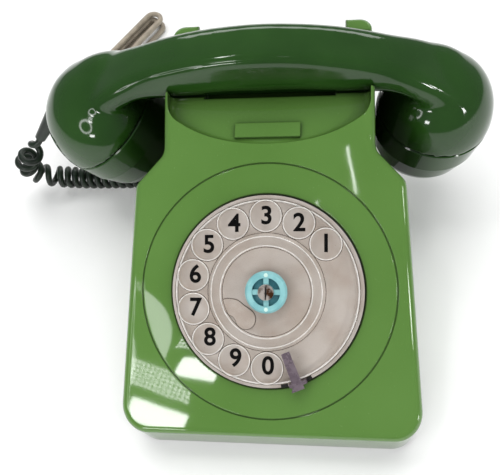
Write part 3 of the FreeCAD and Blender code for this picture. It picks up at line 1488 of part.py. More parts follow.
def make_line_cord():
    width = size("line_wire")
    edges, radii, outer, start, finish = hank_path()
    gap, length = least_gap(edges, width, 3 * width)
    print("line_cord_hank tightest radius", round(min(radii), 2), "least gap to itself", round(gap, 2))
    cord_node("line_cord_hank", edges, width, desk.multiply(hank_place))
    join = hank_place.multVec(start)
    away = hank_place.Rotation.multVec(ALONG_X * -1)
    mouth = line_gland + ALONG_Y * size("gland_length")
    floor = width / 2 + 0.2
    route = [
        mouth,
        Vector(20, 228, 5),
        Vector(0, 238, floor),
        Vector(-46, 212, floor),
        Vector(-92, 208, floor),
        join + away * 20 + Vector(13, -15, 0),
        join + away * 20,
        join,
    ]
    free, bends = rounded_route(route)
    print("line_cord bend radii", [round(radius, 1) for radius in bends])
    cord_node("line_cord", free, width, desk)

    step = width + size("hank_gap")
    high = (size("hank_layers") + 1) * step + 1
    wide = 2 * outer + width + 1
    thick = size("tie_thick")
    loop = block("TieLoop", "Sizes.tie_width", "%f" % (wide + 2 * thick), "%f" % (high + thick),
                 Vector(size("tie_at") - size("tie_width") / 2, -wide / 2 - thick, 0))
    gap_box = block("TieGap", "Sizes.tie_width * 2", "%f" % wide, "%f" % high,
                    Vector(size("tie_at") - size("tie_width"), -wide / 2, -thick))
    node("hank_tie", cut("HankTie", loop, gap_box), desk.multiply(hank_place))

    body = block("PlugBody", "Sizes.plug_length", "Sizes.plug_width", "Sizes.plug_thick",
                 Vector(0, -size("plug_width") / 2, -size("plug_thick") / 2))
    blade = block("PlugBlade", "Sizes.plug_length * 0.4", "Sizes.plug_width * 0.6", "Sizes.plug_thick * 0.6",
                  Vector(size("plug_length"), -size("plug_width") * 0.3, -size("plug_thick") * 0.3))
    clip = block("PlugClip", "Sizes.plug_length * 0.6", "3", "1.2",
                 Vector(size("plug_length") * 0.7, -1.5, size("plug_thick") / 2 + 0.2))
    bridge = block("PlugBridge", "2", "3", "1", Vector(size("plug_length") * 0.7, -1.5, size("plug_thick") / 2 - 0.4))
    plug = fuse("LinePlug", [body, blade, clip, bridge])
    node("line_plug", plug, desk.multiply(hank_place).multiply(Placement(finish, Rotation(UP, 180))))


def make_glands():
    for label, spot, direction, wire in (
        ("handset_cord_gland", handset_gland, ALONG_X * -1, "Sizes.curl_wire"),
        ("line_cord_gland", line_gland, ALONG_Y, "Sizes.line_wire"),
    ):
        inside = "-Sizes.case_wall * 1.6"
        bore = "(%s / 2 + 0.2)" % wire
        gland = lathe(
            label,
            [
                (bore, inside),
                (GLAND_SLEEVE, inside),
                (GLAND_SLEEVE, "0.3"),
                ("Sizes.gland_flange", "0.3"),
                ("Sizes.gland_flange", "2.2"),
                (GLAND_SLEEVE, "3.4"),
                (bore + "+ 0.9", "Sizes.gland_length"),
                (bore, "Sizes.gland_length"),
            ],
        )
        node(label, gland, desk.multiply(Placement(spot, Rotation(UP, direction))))


make_case_shell()
make_label()
make_base()
make_feet()
make_case_screws()
make_number_plate()
make_dial_case()
make_finger_stop()
make_finger_wheel()
make_hub()
make_dial_works()
make_governor()
make_pulse_contacts()
make_dial_bracket()
make_board()
make_ringer()
make_gongs()
make_hook_switch()
make_handset_shell()
make_caps()
make_capsules()
relief_end = make_relief()
make_handset_cord(relief_end)
make_line_cord()
make_glands()
doc.recompute()

for item in doc.Objects:
    faults = [state for state in item.State if state in ("Invalid", "Error")]
    if faults:
        raise RuntimeError("%s is %s" % (item.Label, ", ".join(faults)))
os.makedirs("parts", exist_ok=True)
for label, item in nodes.items():
    shape = item.Shape
    if shape.isNull() or not shape.isValid():
        raise RuntimeError(label + " has no valid shape")
    shape.exportStep("parts/%s.step" % label)
    box = shape.BoundBox
    print("%-20s solids %d volume %.0f  x %.1f..%.1f y %.1f..%.1f z %.1f..%.1f" % (
        label, len(shape.Solids), shape.Volume, box.XMin, box.XMax, box.YMin, box.YMax, box.ZMin, box.ZMax))
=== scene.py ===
import bpy
import json
import math
from mathutils import Matrix, Vector


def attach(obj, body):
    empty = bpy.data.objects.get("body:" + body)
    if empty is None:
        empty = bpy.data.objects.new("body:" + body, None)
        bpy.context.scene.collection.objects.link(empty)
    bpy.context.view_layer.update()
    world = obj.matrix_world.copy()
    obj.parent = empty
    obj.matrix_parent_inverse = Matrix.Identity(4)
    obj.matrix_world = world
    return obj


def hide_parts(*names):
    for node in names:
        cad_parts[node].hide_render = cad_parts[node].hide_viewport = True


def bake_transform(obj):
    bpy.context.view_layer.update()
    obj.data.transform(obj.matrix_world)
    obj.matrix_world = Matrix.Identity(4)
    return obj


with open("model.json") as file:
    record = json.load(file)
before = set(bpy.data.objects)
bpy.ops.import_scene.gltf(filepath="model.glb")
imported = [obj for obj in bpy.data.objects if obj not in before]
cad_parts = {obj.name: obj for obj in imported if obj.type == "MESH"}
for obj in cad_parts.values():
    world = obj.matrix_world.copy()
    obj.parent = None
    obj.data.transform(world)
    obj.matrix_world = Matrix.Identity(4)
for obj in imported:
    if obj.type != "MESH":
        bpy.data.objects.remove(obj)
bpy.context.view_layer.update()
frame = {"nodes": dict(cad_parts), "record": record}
nodes = frame["nodes"]
scene = bpy.context.scene
mm = 0.001
deskShift = Vector((7.028, -97.6, 0))  # the desk set's own corner, in mm
handShift = Vector((3.528, 65.1, 0))  # the handset's own middle, in mm
dialSet = {"centre": (7.028, -37.012, 61.871), "lean": 27}  # middle of the plate in mm, lean in degrees
dialTurn = Matrix.Rotation(math.radians(dialSet["lean"]), 4, "X")
dialFrame = Matrix.Translation(Vector(dialSet["centre"]) * mm) @ dialTurn
mergeWithin = 0.01  # loose triangles of a copied node meet again within this, in mm
creaseAngle = 40  # small pieces look round below this angle, in degrees


def fromDesk(x, y, z):
    return (Vector((x, y, z)) + deskShift) * mm


def onDial(x, y, level):
    # a place on the dial: across, up its slope and out from the plate, in mm
    return dialFrame @ Matrix.Translation((x * mm, y * mm, level * mm))


def clearPick():
    if bpy.context.object and bpy.context.object.mode != "OBJECT":
        bpy.ops.object.mode_set(mode="OBJECT")
    bpy.ops.object.select_all(action="DESELECT")


def pick(*objs):
    clearPick()
    for obj in objs:
        obj.select_set(True)
    bpy.context.view_layer.objects.active = objs[0]
    return objs[0]


def joinAs(pieceName, parts):
    whole = pick(*parts)
    bpy.ops.object.join()
    whole.name = pieceName
    return whole


def applyModifiers(obj):
    pick(obj)
    for modifier in list(obj.modifiers):
        bpy.ops.object.modifier_apply(modifier=modifier.name)


def stretch(sizes):
    # a new primitive is selected all over, so its whole mesh is stretched
    bpy.ops.object.mode_set(mode="EDIT")
    bpy.ops.transform.resize(value=sizes)
    bpy.ops.object.mode_set(mode="OBJECT")
    return bpy.context.object


def softenEdges(obj, width):
    bevel = obj.modifiers.new("softEdge", "BEVEL")
    bevel.width = width * mm
    bevel.segments = 2
    applyModifiers(obj)


def settle(obj, place):
    # the place goes into the mesh, and the object stays at the origin
    obj.matrix_world = place @ obj.matrix_world
    pick(obj)
    bpy.ops.object.transform_apply(location=True, rotation=True, scale=True)
    return obj


def smoothBy(obj, degrees):
    pick(obj)
    bpy.ops.object.shade_smooth_by_angle(angle=math.radians(degrees))
    return obj


def copyOf(nodeName, pieceName):
    obj = nodes[nodeName].copy()
    obj.data = nodes[nodeName].data.copy()
    obj.name = pieceName
    obj.parent = None
    for key in list(obj.keys()):
        del obj[key]
    scene.collection.objects.link(obj)
    pick(obj)
    bpy.ops.mesh.customdata_custom_splitnormals_clear()
    bpy.ops.object.mode_set(mode="EDIT")
    bpy.ops.mesh.select_all(action="SELECT")
    bpy.ops.mesh.remove_doubles(threshold=mergeWithin * mm)
    bpy.ops.object.mode_set(mode="OBJECT")
    return obj


def wear(obj, material):
    obj.data.materials.clear()
    obj.data.materials.append(material)


def fit(obj, body, slot, *replaced):
    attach(obj, body)
    if replaced:
        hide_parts(*replaced)


def hexColour(code):
    values = [int(code[i:i + 2], 16) / 255 for i in (1, 3, 5)]
    return tuple(v / 12.92 if v <= 0.04045 else ((v + 0.055) / 1.055) ** 2.4 for v in values) + (1,)


def addNode(tree, kind, settings=None, links=None, stops=()):
    # stops are the places and colours along a colour ramp
    node = tree.nodes.new(kind)
    for key, value in (settings or {}).items():
        if isinstance(key, str) and hasattr(node, key):
            setattr(node, key, value)
        else:
            node.inputs[key].default_value = value
    for key, socket in (links or {}).items():
        tree.links.new(socket, node.inputs[key])
    for k, (position, code) in enumerate(stops):
        node.color_ramp.elements[k].position = position
        node.color_ramp.elements[k].color = hexColour(code)
    return node


# camera and light
cameraSet = {
    "place": (31.634, -54.8, 343.1),  # from the desk set's corner, in mm
    "right": (0.99149, 0.05763, -0.11675),
    "up": (0.00177, 0.89063, 0.45472),
    "lens": 46.8,
    "sensor": 36,
    "nearest": 0.01,
}
camera = bpy.data.objects.new("photoCamera", bpy.data.cameras.new("photoCamera"))
scene.collection.objects.link(camera)
camera.data.sensor_fit = "HORIZONTAL"
camera.data.sensor_width = cameraSet["sensor"]
camera.data.lens = cameraSet["lens"]
camera.data.clip_start = cameraSet["nearest"]
right = Vector(cameraSet["right"]).normalized()
up = Vector(cameraSet["up"])
up = (up - right * up.dot(right)).normalized()
turn = Matrix((right, up, right.cross(up))).transposed().to_4x4()
camera.matrix_world = Matrix.Translation(fromDesk(*cameraSet["place"])) @ turn
scene.camera = camera

# three broad panels light the body without showing in its gloss; the others are windows and lamps that show
lightSet = {
    "overheadPanel": {"at": (0.05, 0.6, 1.4), "size": (1.5, 1.0), "watts": 16, "shows": False},
    "frontPanel": {"at": (0.2, -1.2, 1.0), "size": (1.2, 0.8), "watts": 5, "shows": False},
    "rearStrip": {"at": (0.0, 1.25, 0.75), "size": (1.5, 0.3), "watts": 5},
    "leftPanel": {"at": (-0.8, -0.7, 1.0), "size": (0.8, 0.6), "watts": 4, "shows": False},
    "windowFront": {"at": (-0.36, -0.878, 0.885), "size": (0.13, 0.05), "watts": 0.42},
    "blindFront": {"at": (-0.36, -0.815, 0.935), "size": (0.16, 0.06), "watts": 0.5, "holes": (15, 6)},
    "blindSlit": {"at": (-0.4, -0.635, 1.04), "size": (0.13, 0.02), "watts": 0.05, "holes": (14, 2)},
    "windowRight": {"at": (0.91, -0.5, 0.78), "size": (0.16, 0.14), "watts": 2.2},
    "windowSide": {"at": (0.94, -0.17, 0.71), "size": (0.12, 0.1), "watts": 1.0},
    "windowLeft": {"at": (-0.36, -1.09, 0.4), "size": (0.18, 0.1), "watts": 1.2},
    "windowLow": {"at": (1.04, -0.66, 0.31), "size": (0.16, 0.16), "watts": 1.8},
    "windowTop": {"at": (-0.4, 0.15, 1.25), "size": (0.18, 0.08), "watts": 1.0},
    "tubeLamp": {"at": (0.075, -0.42, 1.21), "size": (0.005, 0.11), "watts": 0.035},
    "ringLamp": {"at": (-0.21, -0.22, 0.25), "size": (0.15, 0.15), "watts": 0.36, "ring": True},
}
# the ring lamp and each hole of a blind lie in a square that is 1 wide
glowSet = {"middle": (0.5, 0.5, 0), "ringInner": 0.36, "holeRadius": 0.36}
roomSet = {"colour": (0.93, 0.96, 1.0, 1), "strength": 0.24}
lampAim = Vector((0, 0, 0.06))  # half way up the telephone


def ringOnly(light):
    # the lamp shines only near its rim
    light.use_nodes = True
    tree = light.node_tree
    spot = addNode(tree, "ShaderNodeNewGeometry").outputs["Parametric"]
    reach = addNode(tree, "ShaderNodeVectorMath", {"operation": "DISTANCE", 1: glowSet["middle"]}, {0: spot})
    rim = addNode(
        tree, "ShaderNodeMath", {"operation": "GREATER_THAN", 1: glowSet["ringInner"]},
        {0: reach.outputs["Value"]},
    )
    tree.links.new(rim.outputs["Value"], tree.nodes["Emission"].inputs["Strength"])


def holesOnly(light, columns, rows):
    # the blind lets light through in rows of round holes
    light.use_nodes = True
    tree = light.node_tree
    spot = addNode(tree, "ShaderNodeNewGeometry").outputs["Parametric"]
    grid = addNode(tree, "ShaderNodeVectorMath", {"operation": "MULTIPLY", 1: (columns, rows, 0)}, {0: spot})
    cell = addNode(tree, "ShaderNodeVectorMath", {"operation": "FRACTION"}, {0: grid.outputs["Vector"]})
    reach = addNode(
        tree, "ShaderNodeVectorMath", {"operation": "DISTANCE", 1: glowSet["middle"]},
        {0: cell.outputs["Vector"]},
    )
    hole = addNode(
        tree, "ShaderNodeMath", {"operation": "LESS_THAN", 1: glowSet["holeRadius"]},
        {0: reach.outputs["Value"]},
    )
    tree.links.new(hole.outputs["Value"], tree.nodes["Emission"].inputs["Strength"])


for lampName, lamp in lightSet.items():
    light = bpy.data.lights.new(lampName, "AREA")
    light.shape = "DISK" if lamp.get("ring") else "RECTANGLE"
    light.size, light.size_y = lamp["size"]
    light.energy = lamp["watts"]
    if lamp.get("ring"):
        ringOnly(light)
    if lamp.get("holes"):
        holesOnly(light, *lamp["holes"])
    lampObject = bpy.data.objects.new(lampName, light)
    lampObject.visible_glossy = lamp.get("shows", True)
    scene.collection.objects.link(lampObject)
    aim = (lampAim - Vector(lamp["at"])).to_track_quat("-Z", "Y")
    lampObject.matrix_world = Matrix.Translation(lamp["at"]) @ aim.to_matrix().to_4x4()
world = bpy.data.worlds.new("paleRoom")
scene.world = world
world.use_nodes = True
world.node_tree.nodes["Background"].inputs["Color"].default_value = roomSet["colour"]
world.node_tree.nodes["Background"].inputs["Strength"].default_value = roomSet["strength"]
scene.view_settings.view_transform = "Standard"
print("camera and light are set")


# materials; every size in them is in mm
perMetre = 1000
mixFirst, mixSecond, mixResult = 6, 7, 2  # sockets of a Mix node that mixes colours


def startMaterial(name):
    material = bpy.data.materials.new(name)
    material.use_nodes = True
    tree = material.node_tree
    place = addNode(tree, "ShaderNodeTexCoord").outputs["Object"]
    return material, tree, tree.nodes["Principled BSDF"], place


def mottled(
    name, low, high, patch, rough, ends=(0.35, 0.65), grain=0.4, bump=0.02,
    metal=0.0, coat=0.0, spec=0.5, alpha=1.0,
):
    # colour drifts between two shades over patches, and a fine grain breaks the gloss
    material, tree, shader, place = startMaterial(name)
    drift = addNode(tree, "ShaderNodeTexNoise", {"Scale": perMetre / patch, "Detail": 4.0}, {"Vector": place})
    shades = addNode(
        tree, "ShaderNodeValToRGB", links={"Fac": drift.outputs["Fac"]}, stops=zip(ends, (low, high))
    )
    tree.links.new(shades.outputs["Color"], shader.inputs["Base Color"])
    fine = addNode(tree, "ShaderNodeTexNoise", {"Scale": perMetre / grain, "Detail": 2.0}, {"Vector": place})
    gloss = addNode(
        tree, "ShaderNodeMapRange", {"To Min": rough[0], "To Max": rough[1]}, {"Value": drift.outputs["Fac"]}
    )
    tree.links.new(gloss.outputs["Result"], shader.inputs["Roughness"])
    relief = addNode(
        tree, "ShaderNodeBump", {"Strength": 0.5, "Distance": bump * mm}, {"Height": fine.outputs["Fac"]}
    )
    tree.links.new(relief.outputs["Normal"], shader.inputs["Normal"])
    shader.inputs["Metallic"].default_value = metal
    shader.inputs["Coat Weight"].default_value = coat
    shader.inputs["Specular IOR Level"].default_value = spec
    shader.inputs["Alpha"].default_value = alpha
    return material


def speckled(tree, colour, place, s):
    # sparse specks of another colour lie over the ground
    specks = addNode(
        tree, "ShaderNodeTexNoise", {"Scale": perMetre / s["speck"], "Detail": 2.0}, {"Vector": place}
    )
    sparse = addNode(
        tree, "ShaderNodeMapRange", {"From Min": s["from"], "From Max": s["full"], "To Max": s["most"]},
        {"Value": specks.outputs["Fac"]},
    )
    mixed = addNode(
        tree, "ShaderNodeMix", {"data_type": "RGBA"}, {"Factor": sparse.outputs["Result"], mixFirst: colour}
    )
    mixed.inputs[mixSecond].default_value = hexColour(s["colour"])
    return mixed.outputs[mixResult]


def hollowed(tree, colour, s):
    # painted shade: the colour is darkened where other faces close in, as shade falls in hollows
    hollow = addNode(tree, "ShaderNodeAmbientOcclusion", {"samples": 8, "Distance": s["within"] * mm})
    depth = addNode(
        tree, "ShaderNodeMapRange", {"From Min": s["closed"], "From Max": s["open"], "To Min": s["darkest"]},
        {"Value": hollow.outputs["AO"]},
    )
    shaded = addNode(
        tree, "ShaderNodeMix", {"data_type": "RGBA", "blend_type": "MULTIPLY", 0: 1.0},
        {mixFirst: colour, mixSecond: depth.outputs["Result"]},
    )
    return shaded.outputs[mixResult]


# moulded ABS, polished tool: an even mid green, sharp window reflections, sparse dust, and painted shade
# darkening the hollows
caseFinish = {
    "shades": ((0.3, "#4f7432"), (0.7, "#567b39")),
    "patch": 60,
    "dust": {"colour": "#7f9d68", "speck": 0.9, "from": 0.70, "full": 0.78, "most": 0.35},
    "hollow": {"within": 45, "closed": 0.25, "open": 0.95, "darkest": 0.22},
    "rough": (0.02, 0.055),
    "edge": 0.9,  # rounds the sight of sharp edges
    "ripple": {"apart": 22, "strength": 0.25, "deep": 0.12},  # of a thin moulding
    "ior": 1.53,
}
# moulded ABS, buffed by hands: deep bottle green, softer reflections than the case, and painted shade that
# makes it near black by the neck
handsetFinish = {
    "shades": ((0.3, "#1b3a10"), (0.7, "#254718")),
    "patch": 45,
    "hollow": {"within": 40, "closed": 0.3, "open": 0.8, "darkest": 0.15},
    "rough": (0.04, 0.12),
    "ripple": {"apart": 16, "strength": 0.2, "deep": 0.1},
    "ior": 1.53,
}


def mouldedGreen(name, s):
    material, tree, shader, place = startMaterial(name)
    drift = addNode(
        tree, "ShaderNodeTexNoise", {"Scale": perMetre / s["patch"], "Detail": 3.0}, {"Vector": place}
    )
    shades = addNode(tree, "ShaderNodeValToRGB", links={"Fac": drift.outputs["Fac"]}, stops=s["shades"])
    colour = shades.outputs["Color"]
    if "dust" in s:
        colour = speckled(tree, colour, place, s["dust"])
    # the base colour carries painted shade in the hollows
    tree.links.new(hollowed(tree, colour, s["hollow"]), shader.inputs["Base Color"])
    gloss = addNode(
        tree, "ShaderNodeMapRange", {"To Min": s["rough"][0], "To Max": s["rough"][1]},
        {"Value": drift.outputs["Fac"]},
    )
    tree.links.new(gloss.outputs["Result"], shader.inputs["Roughness"])
    ripple = s["ripple"]
    waves = addNode(
        tree, "ShaderNodeTexNoise", {"Scale": perMetre / ripple["apart"], "Detail": 1.0}, {"Vector": place}
    )
    relief = addNode(
        tree, "ShaderNodeBump", {"Strength": ripple["strength"], "Distance": ripple["deep"] * mm},
        {"Height": waves.outputs["Fac"]},
    )
    if "edge" in s:
        edge = addNode(tree, "ShaderNodeBevel", {"samples": 6, "Radius": s["edge"] * mm})
        tree.links.new(edge.outputs["Normal"], relief.inputs["Normal"])
    tree.links.new(relief.outputs["Normal"], shader.inputs["Normal"])
    shader.inputs["IOR"].default_value = s["ior"]
    return material


# cast acrylic, turned and drilled: see-through, a faint warm veil, bright where it is seen edge on
wheelFinish = {
    "colour": "#f4f0ea",
    "ior": 1.49,
    "seen": (0.045, 0.4),  # the mirror share face on and edge on
    "veil": (0.012, 0.9),
    "swirl": 3,
    "rough": (0.02, 0.16),
}


def clearWheel(s):
    material, tree, shader, place = startMaterial("castAcrylicClear")
    shader.inputs["Base Color"].default_value = hexColour(s["colour"])
    shader.inputs["Metallic"].default_value = 1.0
    facing = addNode(tree, "ShaderNodeFresnel", {"IOR": s["ior"]})
    veil = addNode(
        tree, "ShaderNodeMapRange",
        {"From Min": s["seen"][0], "From Max": s["seen"][1], "To Min": s["veil"][0], "To Max": s["veil"][1]},
        {"Value": facing.outputs["Fac"]},
    )
    tree.links.new(veil.outputs["Result"], shader.inputs["Alpha"])
    swirl = addNode(
        tree, "ShaderNodeTexNoise", {"Scale": perMetre / s["swirl"], "Detail": 5.0}, {"Vector": place}
    )
    haze = addNode(
        tree, "ShaderNodeMapRange", {"To Min": s["rough"][0], "To Max": s["rough"][1]},
        {"Value": swirl.outputs["Fac"]},
    )
    tree.links.new(haze.outputs["Result"], shader.inputs["Roughness"])
    return material


# stove enamel on steel: warm grey white, yellowed in clouds and flecked with dirt
plateFinish = {
    "shades": ((0.3, "#a2968c"), (0.62, "#b0a8a1")),
    "cloud": 14,
    "dirt": {"colour": "#6f5a45", "speck": 0.8, "from": 0.72, "full": 0.8, "most": 0.8},
    "rough": (0.25, 0.45),
}


def ivoryPlate(s):
    material, tree, shader, place = startMaterial("enamelWarmGrey")
    cloud = addNode(
        tree, "ShaderNodeTexNoise", {"Scale": perMetre / s["cloud"], "Detail": 5.0}, {"Vector": place}
    )
    shades = addNode(tree, "ShaderNodeValToRGB", links={"Fac": cloud.outputs["Fac"]}, stops=s["shades"])
    dirty = speckled(tree, shades.outputs["Color"], place, s["dirt"])
    tree.links.new(dirty, shader.inputs["Base Color"])
    gloss = addNode(
        tree, "ShaderNodeMapRange", {"To Min": s["rough"][0], "To Max": s["rough"][1]},
        {"Value": cloud.outputs["Fac"]},
    )
    tree.links.new(gloss.outputs["Result"], shader.inputs["Roughness"])
    return material


materials = {
    "case_plastic": mouldedGreen("mouldedAbsLeafGreen", caseFinish),
    "handset_plastic": mouldedGreen("mouldedAbsBottleGreen", handsetFinish),
    "clear_plastic": clearWheel(wheelFinish),
    "ivory_plastic": ivoryPlate(plateFinish),
    # moulded nylon: chalky turquoise, faintly clouded
    "hub_plastic": mottled("mouldedNylonTurquoise", "#71a9ad", "#84b8ba", 5, (0.3, 0.45), coat=0.1),
    # nickel plated steel, pitted: brown rust blooms through grey metal
    "plated_steel": mottled(
        "nickelPlatedSteelPitted", "#55351f", "#cfc6be", 5, (0.2, 0.45), (0.42, 0.54), bump=0.05, metal=0.8
    ),
    # zinc passivated sheet, pressed: dull spangle
    "pressed_steel": mottled("pressedZincSteel", "#8f9393", "#a9adac", 6, (0.35, 0.5), metal=1.0),
    # turned brass: warm, tarnished in spots
    "brass": mottled("turnedBrass", "#8f6f35", "#b8954d", 3, (0.25, 0.4), metal=1.0),
    # moulded phenolic: near black with brown depth
    "dark_plastic": mottled("mouldedPhenolic", "#1d1a18", "#2b2522", 8, (0.35, 0.5)),
    # moulded polystyrene: yellowed cream
    "cream_plastic": mottled("mouldedPolystyreneCream", "#cfc3a6", "#ddd3b9", 10, (0.3, 0.45)),
    # pressed paper laminate: brown with fibre flecks
    "board": mottled("paperLaminateBoard", "#7a5a35", "#91703f", 2, (0.45, 0.6)),
    # enamelled copper wire, wound: dark orange, broken up finely
    "winding": mottled("enamelledCopperWinding", "#6d3417", "#8e4a22", 0.6, (0.3, 0.45), grain=0.3, bump=0.1),
    # moulded rubber: matt grey black
    "rubber": mottled("mouldedRubber", "#1c1c1b", "#2a2a28", 4, (0.65, 0.85)),
    # extruded PVC over tinsel: very dark green, slight shine
    "curly_cord": mottled("extrudedPvcDarkGreen", "#121a13", "#1d2a1e", 6, (0.28, 0.42), bump=0.03),
    # extruded PVC, aged: beige grey with handling dirt
    "line_flex": mottled("extrudedPvcBeige", "#8f8577", "#a89d8c", 5, (0.4, 0.55), bump=0.03),
    # spun bell steel: bright, lightly toned
    "gong_metal": mottled("spunBellSteel", "#9c978d", "#bdb8ad", 5, (0.2, 0.35), metal=1.0),
}
for subpart in frame["record"]["subparts"]:
    wear(nodes[subpart["node"]], materials[subpart["material_slot"]])
# painted strip steel of the finger stop: grey with a violet cast, half shiny
wear(nodes["finger_stop"], mottled("paintedStripSteel", "#6a5d66", "#83767e", 4, (0.22, 0.34), metal=0.5))
nodes["finger_wheel"].visible_shadow = False  # clear acrylic throws next to no shade on the plate
# handling grime and painted shade: thin brown grey lines, broken up over 4 mm and half seen through
grimeAndShadeMaterial = mottled("handlingGrimeAndShade", "#4d4238", "#7c6f63", 4, (0.6, 0.8), spec=0.2, alpha=0.5)
print("materials are made:", len(bpy.data.materials))


# floor
floorSize = 6.0
clearPick()
bpy.ops.mesh.primitive_plane_add(size=floorSize, location=(0, 0, 0))
floor = bpy.context.object
floor.name = "paleFloor"
# matt paper sweep: near white, next to no shine
wear(floor, mottled("matPaperSweep", "#f1f1f0", "#f6f6f5", 90, (0.8, 0.9), spec=0.2))


# handset
handsetSet = {
    "voxel": 1.15,
    "flow": (52, 66),  # the smoothing starts and is full this far from the middle
    "seamKeep": 5,  # nothing is smoothed this near to a seam
    "rounds": 40,
    "lastRounds": 2,
    "ease": 0.5,
    "crease": 50,
    # soft swellings where the handle's rear runs into a cup, in the handset's own mm
    "fills": (
        {"at": (-80, 8, 85), "radii": (26, 16, 15)},
        {"at": (78, 7, 84.5), "radii": (24, 15, 14)},
    ),
    "mouthCup": {"centre": (-89.5, 64.6), "tilt": 32, "inward": 1},
    "earCup": {"centre": (85.6, 62.8), "tilt": 10, "inward": -1},
}


def flowShare(spot, s):
    # only the flow from the handle into each cup is smoothed, and the seams stay crisp
    cup = s["earCup" if spot.x > 0 else "mouthCup"]
    tilt = math.radians(cup["tilt"])
    away = Vector((spot.x - cup["centre"][0], spot.z - cup["centre"][1]))
    height = away.dot(Vector((-cup["inward"] * math.sin(tilt), math.cos(tilt))))
    start, full = s["flow"]
    along = (abs(spot.x) - start) / (full - start)
    above = (height - s["seamKeep"]) / s["seamKeep"]
    return max(0.0, min(1.0, along, above))


def makeHandsetBody(s):
    body = copyOf("handset_shell", "handsetBody")
    swellings = []
    for fill in s["fills"]:
        clearPick()
        bpy.ops.mesh.primitive_uv_sphere_add(segments=48, ring_count=24, radius=mm)
        swelling = stretch(fill["radii"])
        swellings.append(settle(swelling, Matrix.Translation((Vector(fill["at"]) + handShift) * mm)))
    joinAs("handsetBody", [body, *swellings])
    skin = body.modifiers.new("evenSkin", "REMESH")
    skin.mode = "VOXEL"
    skin.voxel_size = s["voxel"] * mm
    applyModifiers(body)
    flow = body.vertex_groups.new(name="flow")
    for vertex in body.data.vertices:
        flow.add([vertex.index], flowShare(vertex.co / mm - handShift, s), "REPLACE")
    easedFlow = body.modifiers.new("easedFlow", "SMOOTH")
    easedFlow.factor = s["ease"]
    easedFlow.iterations = s["rounds"]
    easedFlow.vertex_group = "flow"
    settledSkin = body.modifiers.new("settledSkin", "SMOOTH")
    settledSkin.factor = s["ease"]
    settledSkin.iterations = s["lastRounds"]
    applyModifiers(body)
    body.vertex_groups.clear()
    smoothBy(body, s["crease"])
    wear(body, materials["handset_plastic"])
    fit(body, "handset", "handset_plastic", "handset_shell")


makeHandsetBody(handsetSet)
print("handset is smoothed")


# dial face; every level is out from the plate
holeSet = {"circle": 35.2, "first": 39, "step": 25.7143, "count": 10}  # finger holes, from 1 round to 0


def holePlaces(s):
    angles = [math.radians(s["first"] + k * s["step"]) for k in range(s["count"])]
    return [(s["circle"] * math.cos(angle), s["circle"] * math.sin(angle)) for angle in angles]


# hoops of painted highlight on the wheel's edges, and lines of grime and painted shade
edgeSet = {
    "holes": {"ring": 7.25, "wire": 0.26, "level": 5.15},
    "raised": {"rings": (21.4, 25.7), "wire": 0.26, "level": 5.8},
    "outer": {"ring": 42.45, "wire": 0.45, "level": 4.2},
    # lines of grime and painted shade round the collars, the raised ring, the hub and the rim
    "grimeAndShade": {"hole": 7.7, "rings": (9.6, 20.7, 27.4, 42.9), "wire": 0.2, "level": 4.45},
    "smallRing": 10,  # smaller hoops need fewer steps
    "steps": (40, 120),
}


def hoopAt(x, y, ring, wire, level):
    clearPick()
    steps = edgeSet["steps"][0 if ring < edgeSet["smallRing"] else 1]
    bpy.ops.mesh.primitive_torus_add(
        major_radius=ring * mm, minor_radius=wire * mm, major_segments=steps, minor_segments=8
    )
    hoop = bpy.context.object
    bpy.ops.object.shade_smooth()
    return settle(hoop, onDial(x, y, level))


def makeWheelEdgeHighlights(s):
    hoops = [hoopAt(x, y, **s["holes"]) for x, y in holePlaces(holeSet)]
    raised = s["raised"]
    hoops += [hoopAt(0, 0, ring, raised["wire"], raised["level"]) for ring in raised["rings"]]
    hoops.append(hoopAt(0, 0, **s["outer"]))
    edges = joinAs("wheelEdgeHighlights", hoops)
    # painted highlight: a pale, half see-through hoop on each turned acrylic arris stands for the thin white
    # line of light it catches
    wear(edges, mottled("paintedArrisHighlight", "#d9d5d0", "#f2efeb", 2, (0.08, 0.2), spec=0.8, alpha=0.6))
    fit(edges, "dial_rotor", "clear_plastic")


def makeWheelGrimeAndShade(s):
    # grime and painted shade: dark lines in the corner round each collar, beside the raised ring, round the
    # hub and outside the wheel's rim
    lines = [hoopAt(x, y, s["hole"], s["wire"], s["level"]) for x, y in holePlaces(holeSet)]
    lines += [hoopAt(0, 0, ring, s["wire"], s["level"]) for ring in s["rings"]]
    dirt = joinAs("wheelGrimeAndShade", lines)
    wear(dirt, grimeAndShadeMaterial)
    fit(dirt, "dial_rotor", "clear_plastic")


slotSet = {
    "screw": {"size": (1.0, 6.9, 0.2), "level": 7.35, "turn": -8},
    "stop": {"size": (3.4, 1.7, 0.4), "level": 2.15, "at": ((8.2, -43.5), (19.2, -39.8))},
    "edge": 0.08,
}


def boxOnDial(sizes, x, y, level, degrees):
    clearPick()
    bpy.ops.mesh.primitive_cube_add(size=mm)
    box = stretch(sizes)
    softenEdges(box, slotSet["edge"])
    return settle(box, onDial(x, y, level) @ Matrix.Rotation(math.radians(degrees), 4, "Z"))


def makeSlots(s):
    # painted shade: near black boxes stand for the shade in the screw's slot and in the slots beside the
    # stop's foot
    dark = mottled("paintedSlotShade", "#0d0c0b", "#1a1816", 1, (0.5, 0.7))
    screw = s["screw"]
    slot = boxOnDial(screw["size"], 0, 0, screw["level"], screw["turn"])
    slot.name = "screwSlotShade"
    wear(slot, dark)
    fit(slot, "dial_rotor", "plated_steel")
    stop = s["stop"]
    pair = []
    for x, y in stop["at"]:
        acrossRim = math.degrees(math.atan2(y, x)) + 90
        pair.append(boxOnDial(stop["size"], x, y, stop["level"], acrossRim))
    notches = joinAs("stopSlotShade", pair)
    wear(notches, dark)
    fit(notches, "desk_set", "plated_steel")


digitSet = {"tall": 8.6, "fontShare": 0.73, "level": 0.24, "heavier": 0.2, "half": 0.03, "edge": 0.07}


